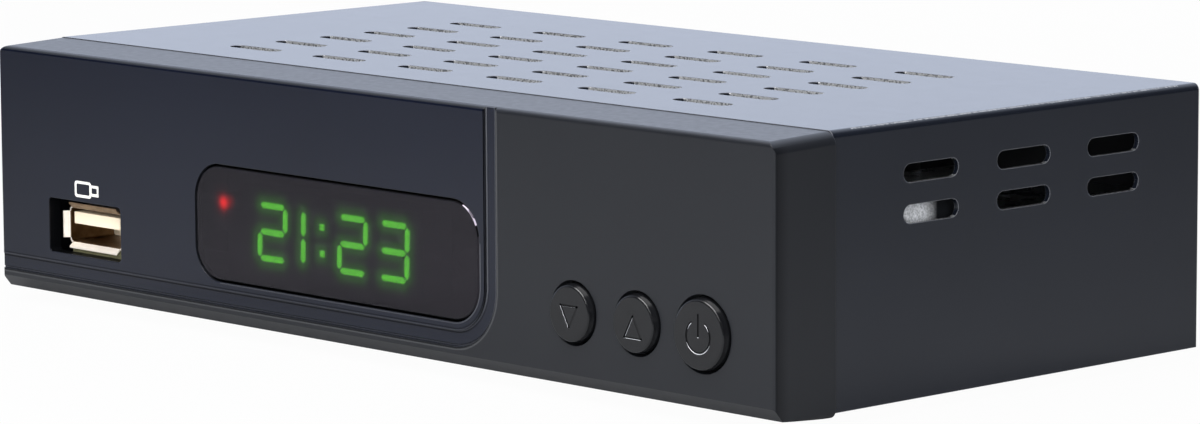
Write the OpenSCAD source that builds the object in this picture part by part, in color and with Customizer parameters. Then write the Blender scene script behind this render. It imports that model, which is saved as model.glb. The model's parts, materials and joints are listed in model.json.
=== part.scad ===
// Cable television receiver: a low steel box with a moulded front, clock display, USB socket and buttons.
// Millimetres. X runs along the front, Y from the front to the rear, Z up from the table.
// Inside every module Y is the depth behind the front face.

/* [Casing] */
// Width of the moulded front
body_w = 168; // [162:1:184]
// Height from the table to the top of the cover
body_h = 39.9; // [39:0.1:48]
// Length of the cover
cover_len = 75; // [74:0.1:96]
// Clear height under the tray
foot_h = 2; // [1.6:0.1:4]
// How far the cover's sides stand in from the front's sides
cover_inset = 0.7; // [0.4:0.1:1.5]
// Thickness of the cover's steel
cover_t = 0.8; // [0.6:0.1:1]
// Thickness of the tray's steel
tray_t = 0.8; // [0.6:0.1:1]
// Outer radius of the cover's bends
cover_bend_r = 1; // [0.8:0.1:2.5]
// Gap between the front and the cover's front edge
cover_gap = 0.15; // [0.1:0.05:0.4]
// Distance of the cover's lower edge below the tray's underside
cover_drop = 0.2; // [0:0.1:0.6]
// Overhang of the cover behind the rear panel
rear_inset = 0.6; // [0.2:0.1:1.5]
// Clearance between the cover and what it slides over
cover_fit = 0.2; // [0.1:0.05:0.3]

/* [Cooling slots] */
// Length of a slot
slot_len = 10.9; // [8:0.1:13]
// Width of a slot
slot_w = 2.6; // [1.8:0.1:3.2]
// Slot columns along the top
top_cols = 6; // [2:1:7]
// Slot rows along the depth
top_rows = 6; // [2:1:6]
// Distance between the columns
top_pitch_x = 19.3; // [16:0.1:22]
// Distance between the rows
top_pitch_y = 9; // [6:0.1:10]
// Depth of the first row behind the front face
top_row_y = 21.9; // [19:0.1:24]
// Slot columns on each side
side_cols = 3; // [1:1:3]
// Slot rows on each side
side_rows = 2; // [1:1:3]
// Distance between the side columns
side_pitch_y = 18.7; // [15:0.1:21]
// Distance between the side rows
side_pitch_z = 5.6; // [4:0.1:6]
// Depth of the first side column behind the front face
side_col_y = 30.7; // [24:0.1:34]
// Distance of the upper side row below the top
side_row_drop = 7.1; // [6:0.1:9]

/* [Moulded front] */
// Depth of the front
bezel_d = 11.4; // [10.9:0.1:14]
// Thickness of the front wall
front_wall = 2.2; // [1.8:0.1:2.6]
// Thickness of the front's side walls
bezel_wall = 2.2; // [1.6:0.1:3]
// Rounding of the front's upper corners
bezel_r = 2; // [1:0.1:3]
// Rounding of the front's lower corners
bezel_foot_r = 1.2; // [0.4:0.1:1.5]
// Rounding of the upper edge of the front face
bezel_edge_r = 0.7; // [0.3:0.1:1.2]
// Rounding of the side edges of the front face
bezel_side_r = 0.5; // [0.2:0.1:1]
// Distance of the front's upper rear edge below the top of the cover
bezel_top_drop = 0.1; // [0:0.1:1]
// Fall of the front's upper face towards the viewer
bezel_top_fall = 0.4; // [0:0.1:1]
// Distance of the front's lower rear edge below the tray's underside
bezel_hang = 0.8; // [0.2:0.1:1.2]
// Rise of the front's lower face towards the viewer
bezel_bottom_rise = 0.8; // [0:0.1:1.2]
// Taper of each side of the front
bezel_taper = 0.2; // [0:0.1:0.8]
// Height of the bevel under the front face
bevel_h = 1.8; // [1:0.1:3]
// Depth of the bevel under the front face
bevel_d = 1.5; // [0.8:0.1:3]
// Length of the lip that the cover slides over
lip_len = 3; // [2:0.1:5]
// Thickness of the lip
lip_t = 1.5; // [1:0.1:1.8]

/* [Display window] */
// Middle of the window, from the middle of the front
window_x = -5.3; // [-8:0.1:0]
// Height of the window's middle above the table
window_z = 17.1; // [16:0.1:20]
// Width of the window
window_w = 62.6; // [56:0.1:66]
// Height of the window
window_h = 17.6; // [15:0.1:19]
// Corner radius of the window
window_r = 5.5; // [2.5:0.1:7]
// Depth of the lens behind the front face
window_recess = 0.05; // [0.05:0.05:0.8]
// Width of the flange round the lens
window_flange = 1.5; // [1:0.1:2]
// Thickness of that flange
window_flange_t = 1; // [0.6:0.1:1.2]
// Bevel of the lens's front edge
window_bevel = 0.25; // [0.1:0.05:0.4]
// Clearance round the lens
window_fit = 0.25; // [0.05:0.01:0.3]
// Wall of the frame that holds the lens
window_frame_t = 1; // [0.8:0.1:1.2]
// Distance from the window to the decorative groove
groove_gap = 1.15; // [0.8:0.05:1.4]
// Width of the groove
groove_w = 2.3; // [1:0.1:3]
// Depth of the groove
groove_depth = 0.3; // [0.2:0.05:0.8]
// Width of the shadow line along the groove's outer edge
groove_line_w = 0.3; // [0.2:0.05:0.5]
// Depth of that line below the groove
groove_line_depth = 0.15; // [0.1:0.05:0.5]

/* [Buttons] */
// Distance of the power button's middle from the right end of the front
power_inset = 13.7; // [13:0.1:16]
// Distance between neighbouring buttons
button_pitch = 12.6; // [12.5:0.1:13.5]
// Height of the buttons' middle above the table
button_z = 12.4; // [11.8:0.1:14]
// Diameter of an arrow button
arrow_d = 8.3; // [6:0.1:8.8]
// Diameter of the power button
power_d = 10; // [7:0.1:10.4]
// How far the buttons stand out of the front face
button_proud = 0.9; // [0.8:0.1:2.5]
// Rounding of a button's rim
button_edge_r = 0.3; // [0.2:0.1:0.7]
// Taper of a button's side from its root to its face
button_taper = 0.2; // [0:0.05:0.3]
// Clearance round a button in its hole
button_fit = 0.4; // [0.1:0.05:0.5]
// Travel of a button
button_travel = 0.5; // [0.25:0.05:0.6]
// Thickness of a button's face and skirt
button_wall = 1.1; // [0.8:0.1:1.4]
// Width of the flange that keeps a button in
button_flange = 0.6; // [0.4:0.1:0.8]
// Thickness of that flange
button_flange_t = 0.8; // [0.5:0.1:1]
// Wall of the guide collar behind each button
collar_wall = 0.8; // [0.6:0.1:1]
// Length of the guide collar
collar_len = 2.4; // [1.5:0.1:2.8]
// Diameter of a switch plunger
plunger_d = 3.5; // [3:0.1:4]
// Length of a switch plunger
plunger_len = 3; // [2.5:0.1:3.2]
// Width of a switch body
switch_w = 6; // [5.5:0.1:6.5]
// Height of a switch body above its board
switch_h = 3.5; // [3.2:0.1:3.8]

/* [Boards] */
// Thickness of both circuit boards
board_t = 1.6; // [1.2:0.1:2]
// Height of the main board above the tray's floor
standoff_h = 5.6; // [5.2:0.1:7]
// Outer radius of a standoff
standoff_r = 3; // [2.4:0.1:3.4]
// Gap between the main board and the tray's walls
board_gap = 2; // [1:0.1:3]
// Gap between the front board and the front wall
front_board_gap = 6.8; // [6.6:0.1:7.4]
// Overhang of the front board past the left end of the window
front_board_overhang = 1.4; // [0.5:0.1:4]
// Gap between the front board and the right end of the front
front_board_side_gap = 5; // [4.5:0.1:7]
// Gap between the front board and the hollow of the front below it
front_board_foot_gap = 3.4; // [3.2:0.1:3.8]
// Gap between the front board and the hollow of the front above it
front_board_top_gap = 4.1; // [1.5:0.1:5]
// Screw shank diameter
screw_d = 2.4; // [2:0.1:2.8]
// Screw head diameter
screw_head_d = 5.4; // [4.6:0.1:5.8]
// Screw head height
screw_head_h = 1.7; // [1.2:0.1:2]
// Rounding of a screw head's rim
screw_head_r = 0.6; // [0.3:0.1:0.8]
// Width of a screw head's cross recess
screw_cross_w = 0.8; // [0.5:0.1:1]
// Length of a screw head's cross recess
screw_cross_len = 3; // [2:0.1:3.6]
// Depth of a screw head's cross recess
screw_cross_h = 0.9; // [0.6:0.1:1]
// Running clearance round a screw shank in its thread
screw_fit = 0.05; // [0.02:0.01:0.1]

/* [Clock display] */
// Distance of the display's middle to the left of the window's middle
display_shift = 2.7; // [1:0.1:5]
// Distance of the display's middle below the window's middle
display_drop = 0.6; // [0:0.1:1.5]
// Width of the display package
display_w = 40; // [38:0.1:44]
// Height of the display package
display_h = 12.8; // [11.5:0.1:14]
// Depth of the display package
display_d = 5.5; // [5:0.1:5.6]
// Height of a digit
digit_h = 8.8; // [8:0.1:10]
// Width of a digit
digit_w = 6.6; // [5:0.1:7]
// Width of a lit bar
bar_w = 0.95; // [0.7:0.05:1.3]
// Gap between neighbouring bars
bar_gap = 0.35; // [0.1:0.05:0.4]
// Slant of the digits
digit_slant = 2; // [0:1:10]
// Thickness of the lit bars
bar_t = 0.15; // [0.1:0.05:0.2]
// Distance of the status lamp from the left end of the window
led_inset = 3.7; // [2.8:0.1:4.8]
// Distance of the status lamp above the window's middle
led_rise = 2.8; // [0:0.1:4]
// Diameter of the status lamp
led_d = 3; // [2:0.1:3.4]
// Distance of the remote-control sensor from the right end of the window
sensor_inset = 7.5; // [5.3:0.1:9]

/* [USB socket] */
// Distance of the socket's middle from the left end of the front
usb_inset = 20.9; // [18:0.1:26]
// Width of the opening in the front
usb_open_w = 17.5; // [15.5:0.1:19]
// Height of the opening in the front
usb_open_h = 8.35; // [7.6:0.05:9]
// Corner radius of the opening
usb_open_r = 0.6; // [0.2:0.1:1]
// Depth of the socket behind the front face
usb_recess = 1.5; // [1:0.1:2]
// Width of the socket's shell
usb_w = 13.1; // [12.9:0.1:13.4]
// Height of the socket's shell
usb_h = 5.7; // [5.6:0.1:5.9]
// Length of the socket
usb_len = 14; // [12:0.1:18]
// Sheet of the socket's shell
usb_t = 0.3; // [0.25:0.05:0.4]
// Spread of the lips at the mouth
usb_flare = 0.7; // [0.3:0.1:0.8]
// Thickness of the tongue
usb_tongue_t = 1.8; // [1.6:0.1:2]
// Gap between the tongue and the shell above it
usb_tongue_drop = 0.5; // [0.3:0.1:0.7]

/* [Tuner and cooling] */
// Width of the tuner can
tuner_w = 36; // [33:0.1:38]
// Length of the tuner can
tuner_len = 42; // [36:0.1:46]
// Height of the tuner can
tuner_h = 14; // [13:0.1:18]
// Sheet of the can and its lid
tuner_t = 0.5; // [0.4:0.05:0.6]
// Skirt of the can's lid
tuner_skirt = 3.5; // [2:0.1:5]
// Width of the processor package
cpu_w = 23; // [18:0.1:26]
// Thickness of the processor package
cpu_t = 1.8; // [1.2:0.1:2.4]
// Width of the heat sink
sink_w = 28; // [24:0.1:32]
// Height of the heat sink
sink_h = 10; // [6:0.1:14]
// Number of fins
sink_fins = 8; // [5:1:10]
// Thickness of a fin
fin_t = 1.2; // [0.8:0.1:1.4]
// Thickness of the heat sink's base
sink_base_t = 2; // [1.5:0.1:3]
// Length of the regulator's cooling plate
plate_len = 24; // [20:0.1:26]
// Height of the cooling plate above the main board
plate_h = 18; // [16.5:0.1:20]
// Thickness of the cooling plate
plate_t = 1.5; // [1:0.1:2]

/* [Rear sockets] */
// Gap between the main board's ends and the outermost sockets
rear_edge_gap = 5.5; // [4:0.1:7]
// How far the aerial sockets stand out of the rear panel
socket_proud = 9; // [8:0.1:12]
// Distance between the aerial sockets
rf_pitch = 17; // [15:0.1:19]
// Height of the aerial sockets above the main board
rf_z = 7; // [6.4:0.1:7.4]
// Outer diameter of the aerial sockets' collar
rf_collar_d = 11.4; // [11:0.1:12]
// Nominal aerial plug diameter
rf_plug_d = 9.52; // [9.5:0.01:9.6]
// Wall of the aerial output's tube
rf_wall = 0.6; // [0.4:0.1:0.8]
// Aerial pin diameter
rf_pin_d = 2.4; // [2.3:0.05:2.5]
// Width of the video socket
scart_w = 47; // [46.5:0.1:48]
// Height of the video socket
scart_h = 15.8; // [15.5:0.1:16.5]
// Length of the video socket
scart_len = 17; // [14:0.1:20]
// Width of the screen socket
hdmi_w = 15; // [14.8:0.1:15.2]
// Height of the screen socket
hdmi_h = 6; // [5.8:0.1:6.2]
// Length of the screen socket
hdmi_len = 11.5; // [10:0.1:13]
// Width of the sound socket
spdif_w = 10; // [9.6:0.1:11]
// Diameter of the sound socket's barrel
spdif_d = 8.3; // [8:0.1:8.6]
// Width of the power inlet
dc_w = 9; // [8.6:0.1:10]
// Diameter of the power plug's hole
dc_bore_d = 6; // [5.7:0.1:6.4]
// Diameter of the power inlet's pin
dc_pin_d = 2; // [1.9:0.1:2.5]

/* [Hidden] */
$fn = 48;

// Overlap of cutting shapes past the faces they cut
cut = 1;
// Gap between pieces of one assembly that are pushed together
seat = 0.05;
// Distance that an upper corner's rounding stands off the faces it runs into
corner_ease = 0.03;

// Heights
base_z = foot_h;
floor_z = base_z + tray_t;
board_z = floor_z + standoff_h;
board_top = board_z + board_t;
cover_z = base_z - cover_drop;
cover_under = body_h - cover_t;
bezel_z0 = base_z - bezel_hang;
bezel_face_z = bezel_z0 + bezel_bottom_rise;
bezel_z1 = body_h - bezel_top_drop;
bezel_floor_rise = 1.2;
bezel_floor_z = floor_z + bezel_floor_rise;
bezel_roof_z = bezel_z1 - bezel_top_fall - bezel_wall;

// Depths behind the front face
cover_y0 = bezel_d + cover_gap;
cover_y1 = cover_y0 + cover_len;
rear_y = cover_y1 - rear_inset;
rear_in = rear_y - tray_t;
tray_y0 = cover_y0;
front_board_y = front_wall + front_board_gap;
body_y1 = rear_y + socket_proud;
front_y = (button_proud - body_y1) / 2;

// Inner radius of the cover's bends
bend_min_r = 0.1;
cover_bend_in = max(cover_bend_r - cover_t, bend_min_r);

// Half widths
cover_half = body_w / 2 - cover_inset;
tray_half = cover_half - cover_t - cover_fit;
board_half = tray_half - tray_t - board_gap;

// Places along the front
power_x = body_w / 2 - power_inset;
usb_x = usb_inset - body_w / 2;
display_x = window_x - display_shift;
display_z = window_z - display_drop;
led_x = window_x - window_w / 2 + led_inset;
led_z = window_z + led_rise;
sensor_x = window_x + window_w / 2 - sensor_inset;
front_board_x0 = window_x - window_w / 2 - front_board_overhang;
front_board_x1 = body_w / 2 - front_board_side_gap;
front_board_z0 = bezel_floor_z + front_board_foot_gap;
front_board_z1 = bezel_roof_z - front_board_top_gap;

// Rear sockets from the left to the right, with even gaps between them
rear_widths = [dc_w, spdif_w, hdmi_w, scart_w, tuner_w];
function total(list, n) = n == 0 ? 0 : list[n - 1] + total(list, n - 1);
rear_gap = (2 * (board_half - rear_edge_gap) - total(rear_widths, len(rear_widths))) / (len(rear_widths) - 1);
function rear_x(i) = rear_edge_gap - board_half + total(rear_widths, i) + rear_widths[i] / 2 + i * rear_gap;
dc_x = rear_x(0);
spdif_x = rear_x(1);
hdmi_x = rear_x(2);
scart_x = rear_x(3);
tuner_x = rear_x(4);

// Folds of the tray and the pads under it
tray_bend_r = 1.2;
side_flange_h = 10;
front_flange_h = 5.2;
corner_relief = 4;
foot_d = 12;
foot_edge_r = 0.6;
foot_inset = 16.3;
foot_x = tray_half - foot_inset;
foot_front_y = 24;
foot_rear_back = 12;
tray_slot_cols = 5;
tray_slot_rows = 3;
tray_slot_pitch_x = 19;
tray_slot_pitch_y = 12;
tray_slot_y = 34;

// Tabs and screws that hold the cover to the rear panel
tab_w = 12;
tab_h = 8;
tab_screw_drop = 5;
tab_inset = 22.3;
tab_xs = [for (side = [-1:1]) side * (tray_half - tab_inset)];
cover_screw_end = 2;

// Snap hooks of the front in the tray's front flange
hook_inset = 20.3;
hook_xs = [for (side = [-1:1]) side * (tray_half - hook_inset)];
hook_w = 8;
hook_t = 1.3;
hook_barb = 0.6;
hook_barb_len = 1.1;
hook_root = 5;
hook_play = 0.25;

// Buttons: name, middle, diameter
button_names = ["down", "up", "power"];
function button_x(name) = power_x - button_pitch * (2 - search([name], button_names)[0]);
function button_d(name) = name == "power" ? power_d : arrow_d;
plunger_proud = 1.5;
plunger_y = front_board_y - switch_h - plunger_proud;
plunger_grip = 0.8;
plunger_fit = 0.1;
flange_y = front_wall + seat;
stem_wall = 0.9;
collar_play = 0.3;
function collar_r(name) = button_d(name) / 2 + button_fit + button_flange + collar_play;

// Screw bosses of the front board: three along its upper edge and one above the middle button
boss_r = 2.4;
boss_margin = 3;
boss_gap = 1;
boss_points = [
    [front_board_x0 + boss_margin, front_board_z1 - boss_margin],
    [window_x + window_w / 2 + window_flange + boss_r + boss_margin, front_board_z1 - boss_margin],
    [front_board_x1 - boss_margin, front_board_z1 - boss_margin],
    [button_x("up"), button_z + collar_r("up") + collar_wall + boss_gap + boss_r]
];
boss_screw_len = 5;
boss_screw_play = 1;

// Main board and its standoffs: two pairs at the sides, one pair before the video socket
standoff_margin = 6;
standoff_scart_gap = 4;
standoff_scart_x = 12;
board_y0 = tray_y0 + tray_t + board_gap;
board_y1 = rear_in - board_gap / 2;
tuner_rear_gap = 0.2;
tuner_y1 = rear_in - tuner_rear_gap;
tuner_y0 = tuner_y1 - tuner_len;
standoff_points = concat(
    [for (side = [-1, 1], y = [board_y0 + standoff_margin, tuner_y0 - standoff_margin])
        [side * (board_half - standoff_margin), y]],
    [for (side = [-1, 1])
        [scart_x + side * standoff_scart_x, rear_in - scart_len - standoff_scart_gap]]
);
board_screw_len = 6;

// USB socket and the board's tongue under it
usb_z = board_top + usb_h / 2;
usb_overhang = 0.9;
usb_board_inset = 0.5;
usb_tongue_len = 9;
usb_tongue_w = 11.1;
usb_contact_w = 1;
usb_contact_t = 0.15;
usb_contact_xs = [-3.5, -1, 1, 3.5];
usb_flare_len = 0.8;
usb_corner_r = 0.7;
usb_lip_gap = 0.8;

// Lens and display behind it
lens_back_y = front_wall + window_flange_t;
lens_frame_rise = 0.4;
display_y = front_board_y - display_d;
led_flange_rim = 0.4;
led_flange_r = led_d / 2 + led_flange_rim;
led_flange_t = 1;
led_gap = 0.6;
led_y = lens_back_y + led_gap;
sensor_w = 6;
sensor_h = 7;
sensor_t = 2.6;
sensor_dome_r = 2.4;

// Lit bars of the four digits: middle as a share of the display's width, and the letters of the lit bars
lit_digits = [
    [-0.325, "abged"],
    [-0.2225, "bc"],
    [0.12, "abged"],
    [0.345, "abgcd"]
];
colon_x = -0.0475 * display_w;
colon_rise = 0.22 * digit_h;
colon_w = bar_w;

// Tuner can and its sockets
tuner_hole_d = 4;
tuner_hole_pitch = 18;
rf_in_x = tuner_x + rf_pitch / 2;
rf_out_x = tuner_x - rf_pitch / 2;
rf_mid_z = board_top + rf_z;
rf_collar_len = 3.5;
rf_disc_t = 3;
rf_contact_wall = 0.5;
rf_slit_w = 0.5;
rf_panel_fit = 0.4;
rf_tip_back = 1;

// Video socket: a block with two rows of blade slots inside a moat that the plug's shell enters
scart_proud = 1;
scart_rim = 1.4;
scart_moat = 1.9;
scart_depth = 9;
scart_slant = 4;
scart_cols = 10;
scart_pitch = 3.8;
scart_row = 2.3;
scart_slot_w = 1.1;
scart_slot_h = 2.9;
blade_w = 0.5;
blade_h = 1.9;
blade_back = 1;
panel_fit = 0.25;

// Screen socket
hdmi_t = 0.4;
hdmi_chamfer = 1.9;
hdmi_proud = 0.8;
hdmi_blade_w = 9.8;
hdmi_blade_t = 1.2;
hdmi_back_t = 3;
hdmi_mouth = 1;

// Sound socket
spdif_h = 12.4;
spdif_len = 10;
spdif_wall = 0.5;
spdif_proud = 8;
spdif_hole_d = 3.4;
spdif_core_back = 1;

// Power inlet
dc_h = 11;
dc_len = 14;
dc_nose_wall = 1.1;
dc_proud = 0.5;
dc_depth = 9.5;

// Processor in the middle of the main board, with memory on its left and flash memory on its right
cpu_x = -6;
cpu_y = 46;
chip_gap = 6;
memory_w = 9;
memory_d = 13;
memory_t = 1.1;
memory_x = cpu_x - sink_w / 2 - chip_gap;
flash_w = 12;
flash_d = 18;
flash_t = 1;
flash_x = cpu_x + sink_w / 2 + chip_gap + flash_w / 2;
crystal_len = 11;
crystal_w = 4.6;
crystal_h = 3.5;

// Supply parts in rows from the left end of the main board
supply_n = 3;
capacitor_inset = 11.5;
capacitor_pitch = 11;
capacitor_r = 4;
capacitor_gap = 5;
capacitor_y = rear_in - dc_len - capacitor_gap - capacitor_r;
capacitor_h = 11.5;
capacitor_bead = 0.5;
capacitor_bead_z = 1.8;
capacitor_xs = [for (i = [0:supply_n - 1]) capacitor_inset - board_half + i * capacitor_pitch];
regulator_inset = 13;
regulator_pitch = 7.5;
regulator_y = 44;
regulator_w = 5;
regulator_t = 1.6;
regulator_xs = [for (i = [0:supply_n - 1]) regulator_inset - board_half + i * regulator_pitch];
inductor_y = 32;
inductor_w = 7;
inductor_h = 4;
inductor_core_r = 2.6;
inductor_core_h = 0.5;

// Cooling plate at the right end of the main board, with a three-legged regulator screwed to it
plate_edge_gap = 0.2;
plate_y0 = 22;
plate_x1 = board_half - plate_edge_gap;
plate_x0 = plate_x1 - plate_t;
power_reg_y = 28.2;
power_reg_w = 10;
power_reg_t = 4.4;
power_reg_h = 9;
power_reg_tab_t = 1.3;
power_reg_tab_h = 15.5;
power_reg_rise = 2.2;
power_reg_z = board_top + power_reg_rise;
power_reg_hole_rise = 12.8;
power_reg_hole_z = power_reg_z + power_reg_hole_rise;
power_reg_legs = 3;
power_reg_leg_w = 0.8;
power_reg_leg_pitch = 2.54;
power_reg_leg_x = 2.7;
plate_screw_end = 0.8;

// Link between the boards
link_x = 2;
link_pins_n = 10;
link_pitch = 2.54;
link_pin_w = 0.64;
link_strip = 2.5;
link_rise = 2.6;
link_z = board_top + link_rise;
link_socket_len = 8.5;
link_socket_h = 5;
link_gap = 0.6;
link_socket_y = board_y0 + link_gap;
link_pin_depth = 6;
link_hole_w = 1;

// Shape helpers

// Rounded rectangle about the origin
module rounded(w, h, r) {
    square([w - 2 * r, h], center = true);
    square([w, h - 2 * r], center = true);
    for (x = [-1, 1], y = [-1, 1])
        translate([x * (w / 2 - r), y * (h / 2 - r)])
            circle(r);
}

// Round-ended slot about the origin, along the first axis
module stadium(len, w) {
    square([len - w, w], center = true);
    for (x = [-1, 1])
        translate([x * (len - w) / 2, 0])
            circle(w / 2);
}

// Extrude a drawing of X and Z from one depth to another
module along_y(y0, y1) {
    translate([0, y1, 0])
        rotate([90, 0, 0])
            linear_extrude(y1 - y0)
                children();
}

// Extrude a drawing of Y and Z from one side to the other
module along_x(x0, x1) {
    translate([x0, 0, 0])
        rotate([90, 0, 90])
            linear_extrude(x1 - x0)
                children();
}

// Turn a drawing of radius and depth about an axis along Y
module around_y(x, z) {
    translate([x, 0, z])
        rotate([-90, 0, 0])
            rotate_extrude()
                children();
}

// Cylinder along Y between two depths
module rod_y(x, z, y0, y1, d) {
    translate([x, y0, z])
        rotate([-90, 0, 0])
            cylinder(h = y1 - y0, d = d);
}

// Box between two corners
module span(a, b) {
    translate(a)
        cube(b - a);
}

// Put a drawing made from the front face into the part's own frame
module placed() {
    translate([0, front_y, 0])
        children();
}

// Rounded plate along Y with a bevel round its front edge
module beveled_plate(w, h, r, y0, y1, bevel) {
    along_y(y0 + bevel, y1)
        rounded(w, h, r);
    translate([0, 0, r - h / 2])
        linear_extrude(h - 2 * r)
            polygon([[bevel - w / 2, y0], [w / 2 - bevel, y0], [w / 2, y0 + bevel], [-w / 2, y0 + bevel]]);
    along_x(r - w / 2, w / 2 - r)
        polygon([[y0, bevel - h / 2], [y0, h / 2 - bevel], [y0 + bevel, h / 2], [y0 + bevel, -h / 2]]);
    for (x = [-1, 1], z = [-1, 1])
        translate([x * (w / 2 - r), y0, z * (h / 2 - r)])
            rotate([-90, 0, 0])
                cylinder(h = bevel, r1 = r - bevel, r2 = r);
}

// Pan-head screw pointing along -Z, head seated at the origin
module pan_screw(len, d) {
    r = screw_head_d / 2;
    difference() {
        rotate_extrude() {
            square([r, screw_head_h - screw_head_r]);
            square([r - screw_head_r, screw_head_h]);
            translate([r - screw_head_r, screw_head_h - screw_head_r])
                circle(screw_head_r);
        }
        for (turn = [0, 90])
            rotate(turn)
                translate([-screw_cross_len / 2, -screw_cross_w / 2, screw_head_h - screw_cross_h])
                    cube([screw_cross_len, screw_cross_w, screw_cross_h + cut]);
    }
    translate([0, 0, -len])
        cylinder(h = len, d = d);
}

// Moulded front

// Side view of the front: falling top, rising underside, bevel below the face
module bezel_side_view() {
    top_front = bezel_z1 - bezel_top_fall;
    difference() {
        polygon([
            [0, bezel_face_z + bevel_h],
            [bevel_d, bezel_face_z],
            [bezel_d, bezel_z0],
            [bezel_d, bezel_z1],
            [0, top_front]
        ]);
        translate([0, top_front])
            edge_cut(1, -1, bezel_edge_r);
    }
}

// Plan view of the front: tapered sides and rounded face edges
module bezel_plan() {
    half = body_w / 2;
    difference() {
        polygon([
            [-half + bezel_taper, 0],
            [half - bezel_taper, 0],
            [half, bezel_d],
            [-half, bezel_d]
        ]);
        for (side = [-1, 1])
            translate([side * (half - bezel_taper), 0])
                edge_cut(-side, 1, bezel_side_r);
    }
}

// Waste outside a rounded corner at the origin, with the solid towards the given signs
module edge_cut(sx, sy, r) {
    to_corner(sx, sy)
        difference() {
            translate([-cut, -cut])
                square(r + cut);
            translate([r, r])
                circle(r);
        }
}

// Turn a first-quadrant drawing into the quadrant of the given signs
module to_corner(sx, sy) {
    mirror([sx < 0 ? 1 : 0, 0])
        mirror([0, sy < 0 ? 1 : 0])
            children();
}

// Waste outside an upper corner, along the edge that leans with the taper and the fall of the top
module corner_cut(side) {
    lean = atan(bezel_taper / bezel_d);
    fall = atan(bezel_top_fall / bezel_d);
    translate([side * (body_w / 2 - bezel_taper), 0, bezel_z1 - bezel_top_fall])
        rotate([fall, 0, -side * lean])
            along_y(-cut, bezel_d + cut)
                translate([side * corner_ease, corner_ease])
                    edge_cut(-side, -1, bezel_r);
}

// Outer solid of the front
module bezel_block() {
    h = bezel_z1 - bezel_z0;
    difference() {
        intersection() {
            along_y(0, bezel_d)
                translate([0, bezel_z0 + h / 2])
                    rounded(body_w, h, bezel_foot_r);
            along_x(-body_w / 2, body_w / 2)
                bezel_side_view();
            linear_extrude(body_h)
                bezel_plan();
        }
        for (side = [-1, 1])
            corner_cut(side);
    }
}

// Hollow behind the front wall
module bezel_hollow() {
    along_y(front_wall, bezel_d + cut)
        translate([0, (bezel_floor_z + bezel_roof_z) / 2])
            rounded(body_w - 2 * (bezel_wall + bezel_taper), bezel_roof_z - bezel_floor_z, bezel_r / 2);
}

// Lip inside the cover's front edge
module bezel_lip() {
    half = cover_half - cover_t - cover_fit;
    z1 = cover_under - cover_fit;
    z0 = floor_z + side_flange_h + tray_bend_r;
    r = max(cover_bend_r, lip_t + bezel_edge_r);
    along_y(bezel_d - front_wall, bezel_d + lip_len)
        difference() {
            translate([0, (z0 + z1) / 2])
                rounded(2 * half, z1 - z0, r);
            translate([0, (z0 + z1) / 2])
                rounded(2 * (half - lip_t), z1 - z0 - 2 * lip_t, r - lip_t);
            translate([-half + lip_t, z0 - cut])
                square([2 * (half - lip_t), r + cut]);
        }
}

// Shallow groove that runs down from the top edge, turns under the window and leaves at the left side
module groove() {
    x1 = window_x + window_w / 2 + groove_gap;
    z0 = window_z - window_h / 2 - groove_gap;
    r = window_r + groove_gap;
    line = groove_w - groove_line_w;
    along_y(-cut, groove_depth)
        difference() {
            groove_field(x1 + groove_w, z0 - groove_w, r + groove_w);
            groove_field(x1, z0, r);
        }
    along_y(-cut, groove_depth + groove_line_depth)
        difference() {
            groove_field(x1 + groove_w, z0 - groove_w, r + groove_w);
            groove_field(x1 + line, z0 - line, r + line);
        }
}

// Upper left field of the front up to a given right and lower edge, with one rounded corner
module groove_field(x1, z0, r) {
    x0 = -body_w;
    translate([x0, z0])
        square([x1 - r - x0, 2 * body_h]);
    translate([x0, z0 + r])
        square([x1 - x0, 2 * body_h - r]);
    translate([x1 - r, z0 + r])
        circle(r);
}

// Frame behind the window that holds the lens and keeps stray light out
module lens_frame() {
    w = window_w + 2 * (window_flange + window_fit);
    h = window_h + 2 * (window_flange + window_fit);
    r = window_r + window_flange;
    along_y(front_wall - seat, lens_back_y + lens_frame_rise)
        translate([window_x, window_z])
            difference() {
                rounded(w + 2 * window_frame_t, h + 2 * window_frame_t, r + window_frame_t);
                rounded(w, h, r);
            }
}

// Collar behind a button hole
module collar(name) {
    d = 2 * (collar_r(name) + collar_wall);
    rod_y(button_x(name), button_z, front_wall - seat, front_wall + collar_len, d);
}

// Hook that snaps into the tray's front flange
module hook(x) {
    y1 = tray_y0 + tray_t + hook_play + hook_barb_len;
    barb_y = tray_y0 + tray_t + hook_play;
    along_x(x - hook_w / 2, x + hook_w / 2)
        polygon([
            [bezel_d - hook_root, bezel_floor_z - seat],
            [y1, bezel_floor_z - seat],
            [y1, bezel_floor_z + hook_t],
            [barb_y, bezel_floor_z + hook_t + hook_barb],
            [barb_y, bezel_floor_z + hook_t],
            [bezel_d - hook_root, bezel_floor_z + hook_t]
        ]);
}

module front_bezel() {
    color("#26282c")
        placed()
            difference() {
                union() {
                    difference() {
                        bezel_block();
                        bezel_hollow();
                    }
                    bezel_lip();
                    lens_frame();
                    for (name = button_names)
                        collar(name);
                    for (p = boss_points)
                        rod_y(p[0], p[1], front_wall - seat, front_board_y, 2 * boss_r);
                    for (x = hook_xs)
                        hook(x);
                }
                groove();
                along_y(-cut, front_wall + cut)
                    translate([window_x, window_z])
                        rounded(window_w, window_h, window_r);
                along_y(-cut, front_wall + cut)
                    translate([usb_x, usb_z])
                        rounded(usb_open_w, usb_open_h, usb_open_r);
                for (name = button_names) {
                    rod_y(button_x(name), button_z, -cut, front_wall + cut, button_d(name) + 2 * button_fit);
                    rod_y(button_x(name), button_z, front_wall, front_wall + collar_len + cut,
                        2 * collar_r(name));
                }
                for (p = boss_points)
                    rod_y(p[0], p[1], front_board_y - boss_screw_len, front_board_y + cut,
                        screw_d + 2 * screw_fit);
            }
}

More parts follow.
